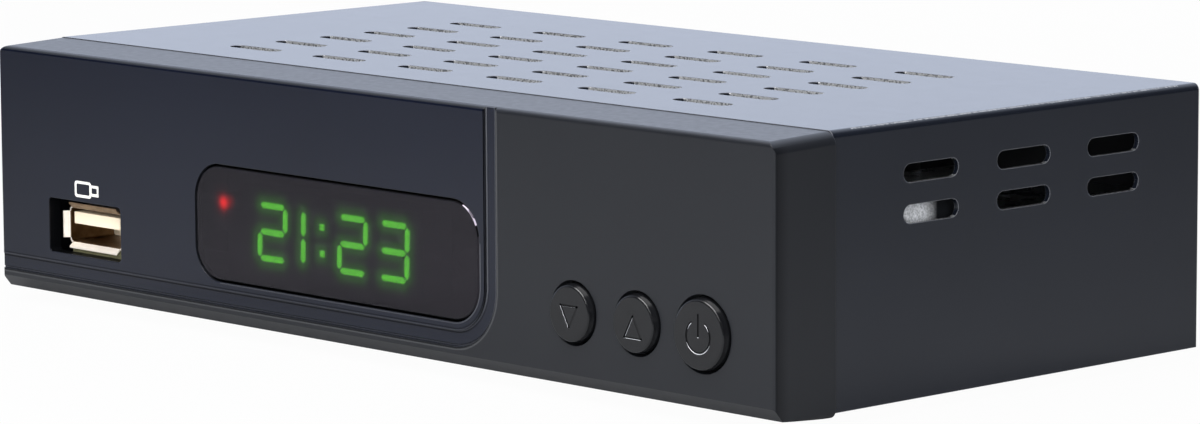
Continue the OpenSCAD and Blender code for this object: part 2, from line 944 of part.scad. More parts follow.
// Smoked lens: a plug with a polished bevel in the opening and a flange behind the front wall
module display_window() {
    color("#1b181a")
        placed()
            translate([window_x, 0, window_z]) {
                beveled_plate(window_w - 2 * window_fit, window_h - 2 * window_fit, window_r - window_fit,
                    window_recess, front_wall, window_bevel);
                along_y(front_wall, lens_back_y)
                    rounded(window_w + 2 * window_flange, window_h + 2 * window_flange,
                        window_r + window_flange);
            }
}

// Sheet-metal cover

// Section of the cover: top and two sides in one bent sheet
module cover_section() {
    h = body_h - cover_z;
    difference() {
        translate([0, body_h - h])
            rounded(2 * cover_half, 2 * h, cover_bend_r);
        translate([0, body_h - h])
            rounded(2 * (cover_half - cover_t), 2 * (h - cover_t), cover_bend_in);
        translate([-body_w, cover_z - 2 * h])
            square([2 * body_w, 2 * h]);
    }
}

module top_slots() {
    for (i = [0:top_cols - 1], j = [0:top_rows - 1])
        translate([(i - (top_cols - 1) / 2) * top_pitch_x, top_row_y + j * top_pitch_y, cover_under - cut])
            linear_extrude(cover_t + 2 * cut)
                stadium(slot_len, slot_w);
}

module side_slots() {
    for (i = [0:side_cols - 1], j = [0:side_rows - 1])
        translate([0, side_col_y + i * side_pitch_y, body_h - side_row_drop - j * side_pitch_z])
            along_x(-body_w, body_w)
                stadium(slot_len, slot_w);
}

module top_cover() {
    color("#2a2d33")
        placed()
            difference() {
                union() {
                    along_y(cover_y0, cover_y1)
                        cover_section();
                    for (x = tab_xs)
                        span([x - tab_w / 2, rear_in - seat - cover_t, cover_under - tab_h],
                            [x + tab_w / 2, rear_in - seat, cover_under + seat]);
                }
                top_slots();
                side_slots();
                for (x = tab_xs)
                    rod_y(x, cover_under - tab_screw_drop, rear_in - cover_t - cut, rear_in + cut,
                        screw_d + 2 * screw_fit);
            }
}

// Screws through the rear panel into the cover's tabs
module cover_screws() {
    color("#3a3c40")
        placed()
            for (x = tab_xs)
                translate([x, rear_y, cover_under - tab_screw_drop])
                    rotate([-90, 0, 0])
                        pan_screw(tray_t + cover_t + cover_screw_end, screw_d);
}

// Tray with the rear panel

// Section of the tray's floor and side walls
module tray_section() {
    h = side_flange_h + tray_t;
    difference() {
        translate([0, base_z + h])
            rounded(2 * tray_half, 2 * h, tray_bend_r);
        translate([0, base_z + h])
            rounded(2 * (tray_half - tray_t), 2 * (h - tray_t), tray_bend_r - tray_t);
        translate([-body_w, base_z + h])
            square([2 * body_w, 2 * h]);
    }
}

// Outline of the rear panel
module panel_outline() {
    z1 = cover_under - cover_fit;
    translate([0, (base_z + z1) / 2])
        rounded(2 * tray_half, z1 - base_z, tray_bend_r);
}

// Cut-outs of the rear panel round the sockets
module panel_cuts() {
    for (x = [rf_in_x, rf_out_x])
        translate([x, rf_mid_z])
            circle(d = rf_collar_d + 2 * rf_panel_fit);
    translate([scart_x, board_top + scart_h / 2])
        square([scart_w + 2 * panel_fit, scart_h + 2 * panel_fit], center = true);
    translate([hdmi_x, board_top + hdmi_h / 2])
        square([hdmi_w + 2 * panel_fit, hdmi_h + 2 * panel_fit], center = true);
    translate([spdif_x, spdif_z()])
        circle(d = spdif_d + 2 * panel_fit);
    translate([dc_x, dc_z()])
        circle(d = dc_nose_d() + 2 * panel_fit);
    for (x = tab_xs)
        translate([x, cover_under - tab_screw_drop])
            circle(d = screw_d + 2 * panel_fit);
}
function spdif_z() = board_top + spdif_h - spdif_w / 2;
function dc_z() = board_top + dc_h / 2;
function dc_nose_d() = dc_bore_d + 2 * dc_nose_wall;

module standoff(p) {
    translate([p[0], p[1], floor_z - seat])
        cylinder(h = standoff_h + seat, r = standoff_r);
}

module base_chassis() {
    color("#2b2d31")
        placed()
            difference() {
                union() {
                    along_y(tray_y0 + lip_len + corner_relief, rear_y)
                        tray_section();
                    span([-tray_half + corner_relief, tray_y0, base_z],
                        [tray_half - corner_relief, tray_y0 + lip_len + corner_relief + cut, floor_z]);
                    span([-tray_half + corner_relief, tray_y0, base_z],
                        [tray_half - corner_relief, tray_y0 + tray_t, base_z + front_flange_h]);
                    along_y(rear_in, rear_y)
                        panel_outline();
                    for (p = standoff_points)
                        standoff(p);
                }
                along_y(rear_in - cut, rear_y + cut)
                    panel_cuts();
                for (p = standoff_points)
                    translate([p[0], p[1], base_z - cut])
                        cylinder(h = board_z - base_z + 2 * cut, d = screw_d + 2 * screw_fit);
                for (x = hook_xs)
                    span([x - hook_w / 2 - hook_play, tray_y0 - cut, bezel_floor_z - hook_barb],
                        [x + hook_w / 2 + hook_play, tray_y0 + tray_t + cut,
                            bezel_floor_z + hook_t + hook_play]);
                for (i = [0:tray_slot_cols - 1], j = [0:tray_slot_rows - 1])
                    translate([(i - (tray_slot_cols - 1) / 2) * tray_slot_pitch_x,
                        tray_slot_y + j * tray_slot_pitch_y, base_z - cut])
                        linear_extrude(tray_t + 2 * cut)
                            stadium(slot_len, slot_w);
            }
}

// Stick-on pads with a rounded lower rim
module rubber_feet() {
    r = foot_d / 2;
    color("#1c1c1d")
        placed()
            for (x = [-foot_x, foot_x], y = [foot_front_y, cover_y1 - foot_rear_back])
                translate([x, y, 0])
                    rotate_extrude() {
                        square([r - foot_edge_r, foot_h]);
                        translate([0, foot_edge_r])
                            square([r, foot_h - foot_edge_r]);
                        translate([r - foot_edge_r, foot_edge_r])
                            circle(foot_edge_r);
                    }
}

// Front board and what it carries

module front_board() {
    color("#3f6b3a")
        placed()
            difference() {
                span([front_board_x0, front_board_y, front_board_z0],
                    [front_board_x1, front_board_y + board_t, front_board_z1]);
                for (p = boss_points)
                    rod_y(p[0], p[1], front_board_y - cut, front_board_y + board_t + cut,
                        screw_d + 2 * panel_fit);
            }
}

module front_board_screws() {
    color("#8d9094")
        placed()
            for (p = boss_points)
                translate([p[0], front_board_y + board_t, p[1]])
                    rotate([-90, 0, 0])
                        pan_screw(board_t + boss_screw_len - boss_screw_play, screw_d);
}

module display_module() {
    color("#3a3a3c")
        placed()
            along_y(display_y, front_board_y)
                translate([display_x, display_z])
                    square([display_w, display_h], center = true);
}

// Pointed bar about the origin, along the first axis
module bar(len) {
    a = len / 2;
    b = bar_w / 2;
    polygon([[-a, 0], [-a + b, b], [a - b, b], [a, 0], [a - b, -b], [-a + b, -b]]);
}

// One bar of a slanted seven-bar digit, by its usual letter
module lit_bar(letter) {
    w = digit_w - bar_w;
    half = (digit_h - bar_w) / 2;
    lean = tan(digit_slant);
    if (letter == "a")
        translate([half * lean, half])
            bar(w - bar_gap);
    if (letter == "g")
        bar(w - bar_gap);
    if (letter == "d")
        translate([-half * lean, -half])
            bar(w - bar_gap);
    for (side = [["b", 1, 1], ["c", 1, -1], ["e", -1, -1], ["f", -1, 1]])
        if (letter == side[0])
            translate([side[1] * w / 2 + side[2] * half / 2 * lean, side[2] * half / 2])
                rotate(90 - digit_slant)
                    bar(half - bar_gap);
}

// Lit bars of the clock and the two dots between hours and minutes
module display_segments() {
    color("#5fd04a")
        placed()
            along_y(display_y - bar_t, display_y)
                translate([display_x, display_z]) {
                    for (digit = lit_digits)
                        translate([digit[0] * display_w, 0])
                            for (letter = digit[1])
                                lit_bar(letter);
                    for (side = [-1, 1])
                        translate([colon_x, side * colon_rise])
                            square(colon_w, center = true);
                }
}

// Round lamp with a domed end and a flange at its board
module status_led() {
    r = led_d / 2;
    color("#d01a1a")
        placed()
            around_y(led_x, led_z) {
                translate([0, led_y + r])
                    square([r, front_board_y - led_y - r]);
                translate([0, front_board_y - led_flange_t])
                    square([led_flange_r, led_flange_t]);
                intersection() {
                    translate([0, led_y + r])
                        circle(r);
                    translate([0, led_y])
                        square([r, r]);
                }
            }
}

// Upright sensor block with a half-round eye
module ir_receiver() {
    color("#232022")
        placed()
            translate([sensor_x, 0, display_z]) {
                along_y(front_board_y - sensor_t, front_board_y)
                    square([sensor_w, sensor_h], center = true);
                intersection() {
                    translate([0, front_board_y - sensor_t, 0])
                        sphere(sensor_dome_r);
                    along_y(front_board_y - sensor_t - sensor_dome_r, front_board_y - sensor_t)
                        square(2 * sensor_dome_r, center = true);
                }
            }
}

// Square push switches with a round way for the plunger
module tact_switches() {
    color("#4b4d50")
        placed()
            for (name = button_names)
                difference() {
                    along_y(front_board_y - switch_h, front_board_y)
                        translate([button_x(name), button_z])
                            square(switch_w, center = true);
                    rod_y(button_x(name), button_z, front_board_y - switch_h - cut,
                        plunger_y + plunger_len + button_travel + plunger_fit, plunger_d + 2 * plunger_fit);
                }
}

module plunger(name) {
    color("#1a1a1b")
        placed()
            rod_y(button_x(name), button_z, plunger_y, plunger_y + plunger_len, plunger_d);
}

module down_plunger() {
    plunger("down");
}

module up_plunger() {
    plunger("up");
}

module power_plunger() {
    plunger("power");
}

// Half section of a round cap: face with a rounded rim, tapered side, skirt, flange and hollow stem
module cap_section(d) {
    r = d / 2;
    face_r = r - button_taper;
    rim_y = button_edge_r - button_proud;
    skirt_end = flange_y + button_flange_t;
    stem_r = plunger_d / 2 + seat + stem_wall;
    difference() {
        union() {
            polygon([[0, rim_y], [face_r, rim_y], [r, 0], [r, skirt_end], [0, skirt_end]]);
            translate([0, -button_proud])
                square([face_r - button_edge_r, skirt_end + button_proud]);
            translate([face_r - button_edge_r, rim_y])
                circle(button_edge_r);
            translate([0, flange_y])
                square([r + button_fit + button_flange, button_flange_t]);
        }
        translate([stem_r, button_wall - button_proud])
            square([r - button_wall - stem_r, skirt_end + button_proud]);
    }
    difference() {
        square([stem_r, plunger_y + plunger_grip]);
        translate([-cut, plunger_y])
            square([plunger_d / 2 + seat + cut, plunger_grip + cut]);
    }
}

module button(name) {
    color("#232529")
        placed()
            around_y(button_x(name), button_z)
                cap_section(button_d(name));
}

module down_button() {
    button("down");
}

module up_button() {
    button("up");
}

module power_button() {
    button("power");
}

// Main board and what it carries

module main_board() {
    color("#4d7a43")
        placed()
            difference() {
                union() {
                    span([-board_half, board_y0, board_z], [board_half, board_y1, board_top]);
                    span([usb_x - usb_w / 2 + usb_board_inset, usb_recess + usb_overhang, board_z],
                        [usb_x + usb_w / 2 - usb_board_inset, board_y0 + cut, board_top]);
                }
                for (p = standoff_points)
                    translate([p[0], p[1], board_z - cut])
                        cylinder(h = board_t + 2 * cut, d = screw_d + 2 * panel_fit);
            }
}

module board_screws() {
    color("#9a9da0")
        placed()
            for (p = standoff_points)
                translate([p[0], p[1], board_top])
                    pan_screw(board_screw_len, screw_d);
}

// Drawn sheet shell of the USB socket with spread lips at its mouth
module usb_shell() {
    y1 = usb_recess + usb_len;
    lip_y = usb_recess + usb_flare_len;
    color("#c9c6bf")
        placed()
            translate([usb_x, 0, usb_z]) {
                along_y(lip_y, y1)
                    difference() {
                        rounded(usb_w, usb_h, usb_corner_r);
                        rounded(usb_w - 2 * usb_t, usb_h - 2 * usb_t, usb_corner_r - usb_t);
                    }
                for (side = [-1, 1]) {
                    translate([-usb_w / 2 + usb_lip_gap, 0, side * usb_h / 2])
                        usb_lip(usb_w - 2 * usb_lip_gap, side, lip_y);
                    rotate([0, 90, 0])
                        translate([-usb_h / 2 + usb_lip_gap, 0, side * usb_w / 2])
                            usb_lip(usb_h - 2 * usb_lip_gap, side, lip_y);
                }
            }
}

// Spread lip along +X, leaning outwards along Z by the given sign
module usb_lip(len, side, lip_y) {
    along_x(0, len)
        polygon([
            [lip_y, 0],
            [lip_y, -side * usb_t],
            [lip_y - usb_flare_len, side * (usb_flare - usb_t)],
            [lip_y - usb_flare_len, side * usb_flare]
        ]);
}

// Tongue of the USB socket in the upper half of the mouth, on a block that closes the rear
module usb_tongue() {
    y1 = usb_recess + usb_len;
    in_w = usb_w - 2 * usb_t - 2 * seat;
    in_h = usb_h - 2 * usb_t - 2 * seat;
    z1 = in_h / 2 - usb_tongue_drop;
    color("#e9dfc6")
        placed()
            translate([usb_x, 0, usb_z]) {
                along_y(y1 - usb_len + usb_tongue_len, y1)
                    rounded(in_w, in_h, usb_corner_r - usb_t);
                span([-usb_tongue_w / 2, usb_recess + usb_overhang, z1 - usb_tongue_t],
                    [usb_tongue_w / 2, y1 - usb_len + usb_tongue_len + seat, z1]);
            }
}

// Four contact strips on the underside of the tongue
module usb_contacts() {
    z1 = usb_h / 2 - usb_t - seat - usb_tongue_drop - usb_tongue_t;
    color("#caa452")
        placed()
            translate([usb_x, 0, usb_z])
                for (x = usb_contact_xs)
                    span([x - usb_contact_w / 2, usb_recess + 2 * usb_overhang, z1 - usb_contact_t],
                        [x + usb_contact_w / 2, usb_recess + usb_tongue_len, z1]);
}

// Square chip lying on the main board
module chip(x, y, w, d, h) {
    span([x - w / 2, y - d / 2, board_top], [x + w / 2, y + d / 2, board_top + h]);
}

module main_processor() {
    color("#2b2b2d")
        placed()
            chip(cpu_x, cpu_y, cpu_w, cpu_w, cpu_t);
}

// Finned block on the processor
module heatsink() {
    z0 = board_top + cpu_t;
    step = (sink_w - fin_t) / (sink_fins - 1);
    color("#a9adb0")
        placed()
            translate([cpu_x - sink_w / 2, cpu_y - sink_w / 2, z0]) {
                cube([sink_w, sink_w, sink_base_t]);
                for (i = [0:sink_fins - 1])
                    translate([i * step, 0, 0])
                        cube([fin_t, sink_w, sink_h]);
            }
}

module memory_chips() {
    color("#29292b")
        placed()
            for (side = [-1, 1])
                chip(memory_x, cpu_y + side * (memory_d + chip_gap) / 2, memory_w, memory_d, memory_t);
}

module flash_chip() {
    color("#2d2c2e")
        placed()
            chip(flash_x, cpu_y, flash_w, flash_d, flash_t);
}

module regulator_chips() {
    color("#2a2a2c")
        placed()
            for (x = regulator_xs)
                chip(x, regulator_y, regulator_w, regulator_w, regulator_t);
}

// Upright aluminium plate beside the right wall
module cooling_plate() {
    color("#aeb2b5")
        placed()
            difference() {
                span([plate_x0, plate_y0, board_top], [plate_x1, plate_y0 + plate_len, board_top + plate_h]);
                plate_bore(screw_d + 2 * screw_fit);
            }
}

// Screw hole across the plate and the regulator's tab
module plate_bore(d) {
    translate([plate_x0 - power_reg_t, power_reg_y, power_reg_hole_z])
        rotate([0, 90, 0])
            cylinder(h = power_reg_t + plate_t + cut, d = d);
}

// Three-legged regulator: metal tab against the plate, moulded body and legs down to the board
module power_regulator() {
    y0 = power_reg_y - power_reg_w / 2;
    y1 = power_reg_y + power_reg_w / 2;
    leg_x = plate_x0 - power_reg_leg_x;
    color("#2c2c2e")
        placed()
            difference() {
                union() {
                    span([plate_x0 - power_reg_tab_t, y0, power_reg_z],
                        [plate_x0, y1, power_reg_z + power_reg_tab_h]);
                    span([plate_x0 - power_reg_t, y0, power_reg_z],
                        [plate_x0 - power_reg_tab_t + seat, y1, power_reg_z + power_reg_h]);
                    for (i = [0:power_reg_legs - 1])
                        translate([leg_x, power_reg_y + (i - (power_reg_legs - 1) / 2) * power_reg_leg_pitch,
                            board_top + (power_reg_rise + seat) / 2])
                            cube([power_reg_leg_w, power_reg_leg_w, power_reg_rise + seat], center = true);
                }
                plate_bore(screw_d + 2 * panel_fit);
            }
}

module plate_screw() {
    color("#9a9da0")
        placed()
            translate([plate_x0 - power_reg_tab_t, power_reg_y, power_reg_hole_z])
                rotate([0, -90, 0])
                    pan_screw(power_reg_tab_t + plate_t + plate_screw_end, screw_d);
}

// Metal can with round ends
module crystal() {
    color("#c4c6c8")
        placed()
            translate([cpu_x, cpu_y - sink_w / 2 - chip_gap, board_top])
                linear_extrude(crystal_h)
                    stadium(crystal_len, crystal_w);
}

// Upright cans with a rolled bead above the base
module filter_capacitors() {
    color("#30343c")
        placed()
            for (x = capacitor_xs)
                translate([x, capacitor_y, board_top])
                    rotate_extrude()
                        difference() {
                            square([capacitor_r, capacitor_h]);
                            translate([capacitor_r + capacitor_bead / 2, capacitor_bead_z])
                                circle(capacitor_bead);
                        }
}

module power_inductors() {
    color("#4a4744")
        placed()
            for (x = regulator_xs) {
                chip(x, inductor_y, inductor_w, inductor_w, inductor_h);
                translate([x, inductor_y, board_top + inductor_h])
                    cylinder(h = inductor_core_h, r = inductor_core_r);
            }
}

// Link between the boards

function link_pin_x(i) = link_x + (i - (link_pins_n - 1) / 2) * link_pitch;
function link_half() = link_pins_n * link_pitch / 2;

module link_socket() {
    color("#1e1e20")
        placed()
            difference() {
                span([link_x - link_half(), link_socket_y, board_top],
                    [link_x + link_half(), link_socket_y + link_socket_len, board_top + link_socket_h]);
                for (i = [0:link_pins_n - 1])
                    along_y(link_socket_y - cut, link_socket_y + link_pin_depth + seat)
                        translate([link_pin_x(i), link_z])
                            square(link_hole_w, center = true);
            }
}

module link_header() {
    y0 = front_board_y + board_t;
    color("#232325")
        placed()
            difference() {
                along_y(y0, y0 + link_strip)
                    translate([link_x, link_z])
                        square([2 * link_half(), link_strip], center = true);
                for (i = [0:link_pins_n - 1])
                    along_y(y0 - cut, y0 + link_strip + cut)
                        translate([link_pin_x(i), link_z])
                            square(link_pin_w + 2 * seat, center = true);
            }
}

module link_pins() {
    color("#c8a94e")
        placed()
            for (i = [0:link_pins_n - 1])
                along_y(front_board_y + board_t, link_socket_y + link_pin_depth)
                    translate([link_pin_x(i), link_z])
                        square(link_pin_w, center = true);
}

// Tuner and aerial sockets

// Folded wall frame of the tuner, open above for its lid
module tuner_can() {
    color("#c3c6c6")
        placed()
            difference() {
                span([tuner_x - tuner_w / 2, tuner_y0, board_top],
                    [tuner_x + tuner_w / 2, tuner_y1, board_top + tuner_h - tuner_t]);
                span([tuner_x - tuner_w / 2 + tuner_t, tuner_y0 + tuner_t, board_top + tuner_t],
                    [tuner_x + tuner_w / 2 - tuner_t, tuner_y1 - tuner_t, board_top + tuner_h]);
                for (x = [rf_in_x, rf_out_x])
                    rod_y(x, rf_mid_z, tuner_y1 - tuner_t - cut, tuner_y1 + cut,
                        rf_pin_d + 2 * rf_contact_wall);
            }
}

// Lid with a skirt on three sides and adjusting holes
module tuner_lid() {
    out = tuner_t + seat;
    z1 = board_top + tuner_h;
    color("#cdd0d0")
        placed()
            difference() {
                span([tuner_x - tuner_w / 2 - out, tuner_y0 - out, z1 - tuner_skirt],
                    [tuner_x + tuner_w / 2 + out, tuner_y1, z1]);
                span([tuner_x - tuner_w / 2 - seat, tuner_y0 - seat, z1 - tuner_skirt - cut],
                    [tuner_x + tuner_w / 2 + seat, tuner_y1 + cut, z1 - tuner_t]);
                for (side = [-1, 1])
                    translate([tuner_x + side * tuner_hole_pitch / 2, (tuner_y0 + tuner_y1) / 2,
                        z1 - tuner_t - cut])
                        cylinder(h = tuner_t + 2 * cut, d = tuner_hole_d);
            }
}

// Collar of the aerial input, bored for the plug
module rf_in_shell() {
    color("#c8c9c6")
        placed()
            difference() {
                rod_y(rf_in_x, rf_mid_z, tuner_y1, body_y1, rf_collar_d);
                rod_y(rf_in_x, rf_mid_z, tuner_y1 - cut, body_y1 + cut, rf_plug_d + 2 * seat);
            }
}

module rf_in_insulator() {
    color("#e8e6de")
        placed()
            difference() {
                rod_y(rf_in_x, rf_mid_z, tuner_y1, tuner_y1 + rf_disc_t, rf_plug_d);
                rod_y(rf_in_x, rf_mid_z, tuner_y1 - cut, tuner_y1 + rf_disc_t + cut,
                    rf_pin_d + 2 * rf_contact_wall + 2 * seat);
            }
}

// Slit tube that takes the plug's pin
module rf_in_contact() {
    color("#cbb06a")
        placed()
            difference() {
                rod_y(rf_in_x, rf_mid_z, tuner_y1, body_y1 - rf_tip_back, rf_pin_d + 2 * rf_contact_wall);
                rod_y(rf_in_x, rf_mid_z, tuner_y1 + rf_disc_t, body_y1, rf_pin_d);
                span([rf_in_x - rf_slit_w / 2, tuner_y1 + rf_disc_t, rf_mid_z - rf_pin_d],
                    [rf_in_x + rf_slit_w / 2, body_y1, rf_mid_z + rf_pin_d]);
            }
}

// Tube of the aerial output on a wider collar
module rf_out_shell() {
    color("#c8c9c6")
        placed()
            difference() {
                union() {
                    rod_y(rf_out_x, rf_mid_z, tuner_y1, tuner_y1 + rf_collar_len, rf_collar_d);
                    rod_y(rf_out_x, rf_mid_z, tuner_y1, body_y1, rf_plug_d);
                }
                rod_y(rf_out_x, rf_mid_z, tuner_y1 - cut, body_y1 + cut, rf_plug_d - 2 * rf_wall);
            }
}

module rf_out_insulator() {
    color("#e8e6de")
        placed()
            difference() {
                rod_y(rf_out_x, rf_mid_z, tuner_y1, tuner_y1 + rf_disc_t, rf_plug_d - 2 * rf_wall - 2 * seat);
                rod_y(rf_out_x, rf_mid_z, tuner_y1 - cut, tuner_y1 + rf_disc_t + cut, rf_pin_d + 2 * seat);
            }
}

module rf_out_pin() {
    color("#cbb06a")
        placed()
            rod_y(rf_out_x, rf_mid_z, tuner_y1, body_y1 - rf_tip_back, rf_pin_d);
}

// Video socket

// Outline with one slanted lower corner on each end, grown inwards by a margin
module scart_outline(margin) {
    w = scart_w / 2 - margin;
    h = scart_h / 2 - margin;
    polygon([[-w, -h], [w - scart_slant, -h], [w, -h + scart_slant], [w, h], [-w, h]]);
}

module scart_blades(w, h, y0, y1) {
    for (i = [0:scart_cols - 1], row = [-1, 1])
        along_y(y0, y1)
            translate([scart_x + (i - (scart_cols - 1) / 2) * scart_pitch,
                board_top + scart_h / 2 + row * scart_row])
                square([w, h], center = true);
}

module scart_socket() {
    y0 = rear_in - scart_len;
    y1 = rear_y + scart_proud;
    color("#202022")
        placed()
            difference() {
                along_y(y0, y1)
                    translate([scart_x, board_top + scart_h / 2])
                        square([scart_w, scart_h], center = true);
                along_y(y1 - scart_depth, y1 + cut)
                    translate([scart_x, board_top + scart_h / 2])
                        difference() {
                            scart_outline(scart_rim);
                            scart_outline(scart_rim + scart_moat);
                        }
                scart_blades(scart_slot_w, scart_slot_h, y1 - scart_depth, y1 + cut);
            }
}

// Blades in the slots, set back from the face
module scart_contacts() {
    y1 = rear_y + scart_proud;
    color("#c9c3ae")
        placed()
            scart_blades(blade_w, blade_h, y1 - scart_depth, y1 - blade_back);
}

// Screen socket

// Outline with two slanted lower corners
module hdmi_outline(margin) {
    w = hdmi_w / 2 - margin;
    h = hdmi_h / 2 - margin;
    polygon([[-w, h], [-w, -h + hdmi_chamfer], [-w + hdmi_chamfer, -h], [w - hdmi_chamfer, -h],
        [w, -h + hdmi_chamfer], [w, h]]);
}

module hdmi_shell() {
    color("#c6c7c8")
        placed()
            along_y(rear_in - hdmi_len, rear_y + hdmi_proud)
                translate([hdmi_x, board_top + hdmi_h / 2])
                    difference() {
                        hdmi_outline(0);
                        hdmi_outline(hdmi_t);
                    }
}

module hdmi_tongue() {
    y0 = rear_in - hdmi_len;
    color("#1d1d1f")
        placed()
            translate([hdmi_x, 0, board_top + hdmi_h / 2]) {
                along_y(y0, y0 + hdmi_back_t)
                    hdmi_outline(hdmi_t + seat);
                along_y(y0 + hdmi_back_t - seat, rear_y + hdmi_proud - hdmi_mouth)
                    square([hdmi_blade_w, hdmi_blade_t], center = true);
            }
}

// Sound socket

// Block on the board with an insulating core inside the barrel
module spdif_body() {
    color("#d7862a")
        placed()
            difference() {
                union() {
                    span([spdif_x - spdif_w / 2, rear_in - spdif_len, board_top],
                        [spdif_x + spdif_w / 2, rear_in, board_top + spdif_h]);
                    rod_y(spdif_x, spdif_z(), rear_in - seat, rear_y + spdif_proud - spdif_core_back,
                        spdif_d - 2 * spdif_wall - 2 * seat);
                }
                rod_y(spdif_x, spdif_z(), rear_in, rear_y + spdif_proud, spdif_hole_d);
            }
}

module spdif_barrel() {
    color("#c9c5b4")
        placed()
            difference() {
                rod_y(spdif_x, spdif_z(), rear_in, rear_y + spdif_proud, spdif_d);
                rod_y(spdif_x, spdif_z(), rear_in - cut, rear_y + spdif_proud + cut,
                    spdif_d - 2 * spdif_wall);
            }
}

// Power inlet

module dc_jack() {
    color("#1f1f21")
        placed()
            difference() {
                union() {
                    span([dc_x - dc_w / 2, rear_in - dc_len, board_top],
                        [dc_x + dc_w / 2, rear_in, board_top + dc_h]);
                    rod_y(dc_x, dc_z(), rear_in - seat, rear_y + dc_proud, dc_nose_d());
                }
                rod_y(dc_x, dc_z(), rear_y + dc_proud - dc_depth, rear_y + dc_proud + cut, dc_bore_d);
            }
}

module dc_pin() {
    color("#c9c7c0")
        placed()
            rod_y(dc_x, dc_z(), rear_y + dc_proud - dc_depth, rear_y, dc_pin_d);
}

front_bezel();
display_window();
top_cover();
base_chassis();
rubber_feet();
cover_screws();
front_board();
front_board_screws();
display_module();
display_segments();
status_led();
ir_receiver();
tact_switches();
down_plunger();
up_plunger();
power_plunger();
down_button();
up_button();
power_button();
main_board();
board_screws();
usb_shell();
usb_tongue();
usb_contacts();
main_processor();
heatsink();
memory_chips();
flash_chip();
regulator_chips();
cooling_plate();
power_regulator();
plate_screw();
crystal();
filter_capacitors();
power_inductors();
link_socket();
link_header();
link_pins();
tuner_can();
tuner_lid();
rf_in_shell();
rf_in_insulator();
rf_in_contact();
rf_out_shell();
rf_out_insulator();
rf_out_pin();
scart_socket();
scart_contacts();
hdmi_shell();
hdmi_tongue();
spdif_body();
spdif_barrel();
dc_jack();
dc_pin();
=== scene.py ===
"""Looks of a cable television receiver: materials, clock glow, button signs, floor, light and camera"""
import json
import math

import bpy
import numpy as np
from mathutils import Matrix, Vector
from mathutils.geometry import tessellate_polygon


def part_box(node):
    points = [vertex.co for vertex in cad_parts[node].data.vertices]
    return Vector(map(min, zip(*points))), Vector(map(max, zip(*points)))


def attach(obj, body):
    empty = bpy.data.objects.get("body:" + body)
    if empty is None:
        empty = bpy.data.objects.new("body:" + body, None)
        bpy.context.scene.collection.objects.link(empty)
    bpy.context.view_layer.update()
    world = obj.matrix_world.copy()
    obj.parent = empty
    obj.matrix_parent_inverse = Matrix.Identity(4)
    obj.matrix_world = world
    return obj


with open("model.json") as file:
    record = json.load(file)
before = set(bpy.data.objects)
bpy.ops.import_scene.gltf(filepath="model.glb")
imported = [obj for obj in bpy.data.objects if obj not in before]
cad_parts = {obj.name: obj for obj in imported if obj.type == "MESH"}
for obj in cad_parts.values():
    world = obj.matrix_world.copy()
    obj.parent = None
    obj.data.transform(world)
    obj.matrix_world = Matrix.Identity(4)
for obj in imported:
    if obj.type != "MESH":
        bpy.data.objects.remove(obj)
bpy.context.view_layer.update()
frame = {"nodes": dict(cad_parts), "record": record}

MM = 0.001

# Camera, found from the straight edges of the box
CAMERA_AT = Vector((564.956, -535.671, 128.582)) * MM
CAMERA_AIM = Vector((1.233, -0.25, 17.208)) * MM
CAMERA_ROLL = math.radians(-0.294)
CAMERA_LENS = 158.158
CAMERA_SENSOR = 36.0

# World: an even light on surfaces, and what glossy surfaces mirror
AMBIENT = (0.20, 0.21, 0.23)
BRIGHT_WALL = (0.98, 1.08, 1.31)
DARK_ROOM = (0.06, 0.065, 0.075)
WALL_SIDE = (-0.707, 0.707, 0.0)
WALL_EDGE = (0.15, 0.60)

# Floor
FLOOR_COLOUR = (0.355, 0.361, 0.372)
FLOOR_HALF = 6.0
FLOOR_SHOWN_WHITE = 0.97

# Soft square lamps: place, aim, size, power, and whether glossy surfaces mirror them
SOFT_LAMPS = {
    "overhead": ((0.05, -0.18, 0.30), (0.05, -0.18, 0.0), 0.26, 1.3, True),
    "key": ((0.95, -0.80, 0.22), (0.0, 0.0, 0.02), 0.60, 18.0, False),
    "rear_fill": ((-0.35, 0.60, 0.45), (-0.05, 0.15, 0.0), 0.50, 5.0, False),
}
SPOT_AT, SPOT_AIM = (-0.16, -0.62, 0.06), (-0.063, -0.045, 0.013)
SPOT_ANGLE, SPOT_BLEND, SPOT_RADIUS, SPOT_POWER = math.radians(5), 0.6, 0.02, 3.2
STRIP_FROM, STRIP_TO, STRIP_AIM = (0.357, -0.475, 0.280), (-0.164, -0.287, 0.541), (0.023, -0.047, 0.024)
STRIP_WIDTH, STRIP_POWER = 0.036, 1.6

# Looks
EDGE_ROUND = 0.16 * MM
LENS_TINT = (0.052, 0.042, 0.046)
LENS_GLOSS = (0.82, 0.74, 0.90)
GREEN = (0.15, 1.0, 0.05)
RED = (1.0, 0.015, 0.012)
LAMP_SHIFT = 0.9 * MM
BUTTON_BLACK = (0.0045, 0.0047, 0.0055)
# Where the cooling plate fades into painted shade towards the rear, in Y
PLATE_SHADE_Y = (-13.5 * MM, -10.8 * MM)
# Boards: solder mask, tracks and pads
GREEN_BOARD = ((0.035, 0.095, 0.026), (0.070, 0.165, 0.050), (0.56, 0.55, 0.50))
BLACK_BOARD = ((0.006, 0.006, 0.007), (0.009, 0.009, 0.010), (0.05, 0.05, 0.05))
# Painted glow on the film: strength and reach of its near and its far part, and the dark gap between two bars
GREEN_NEAR, GREEN_FAR = (1.4, 1.05 * MM), (0.10, 0.8 * MM)
RED_NEAR, RED_FAR = (15.0, 0.80 * MM), (1.5, 1.4 * MM)
BAR_GAP = 0.20 * MM

# Nodes with a look of their own within their slot
OWN_LOOK = {"front_board": "upright_board", "usb_shell": "usb_nickel", "cooling_plate": "speckled_plate"}

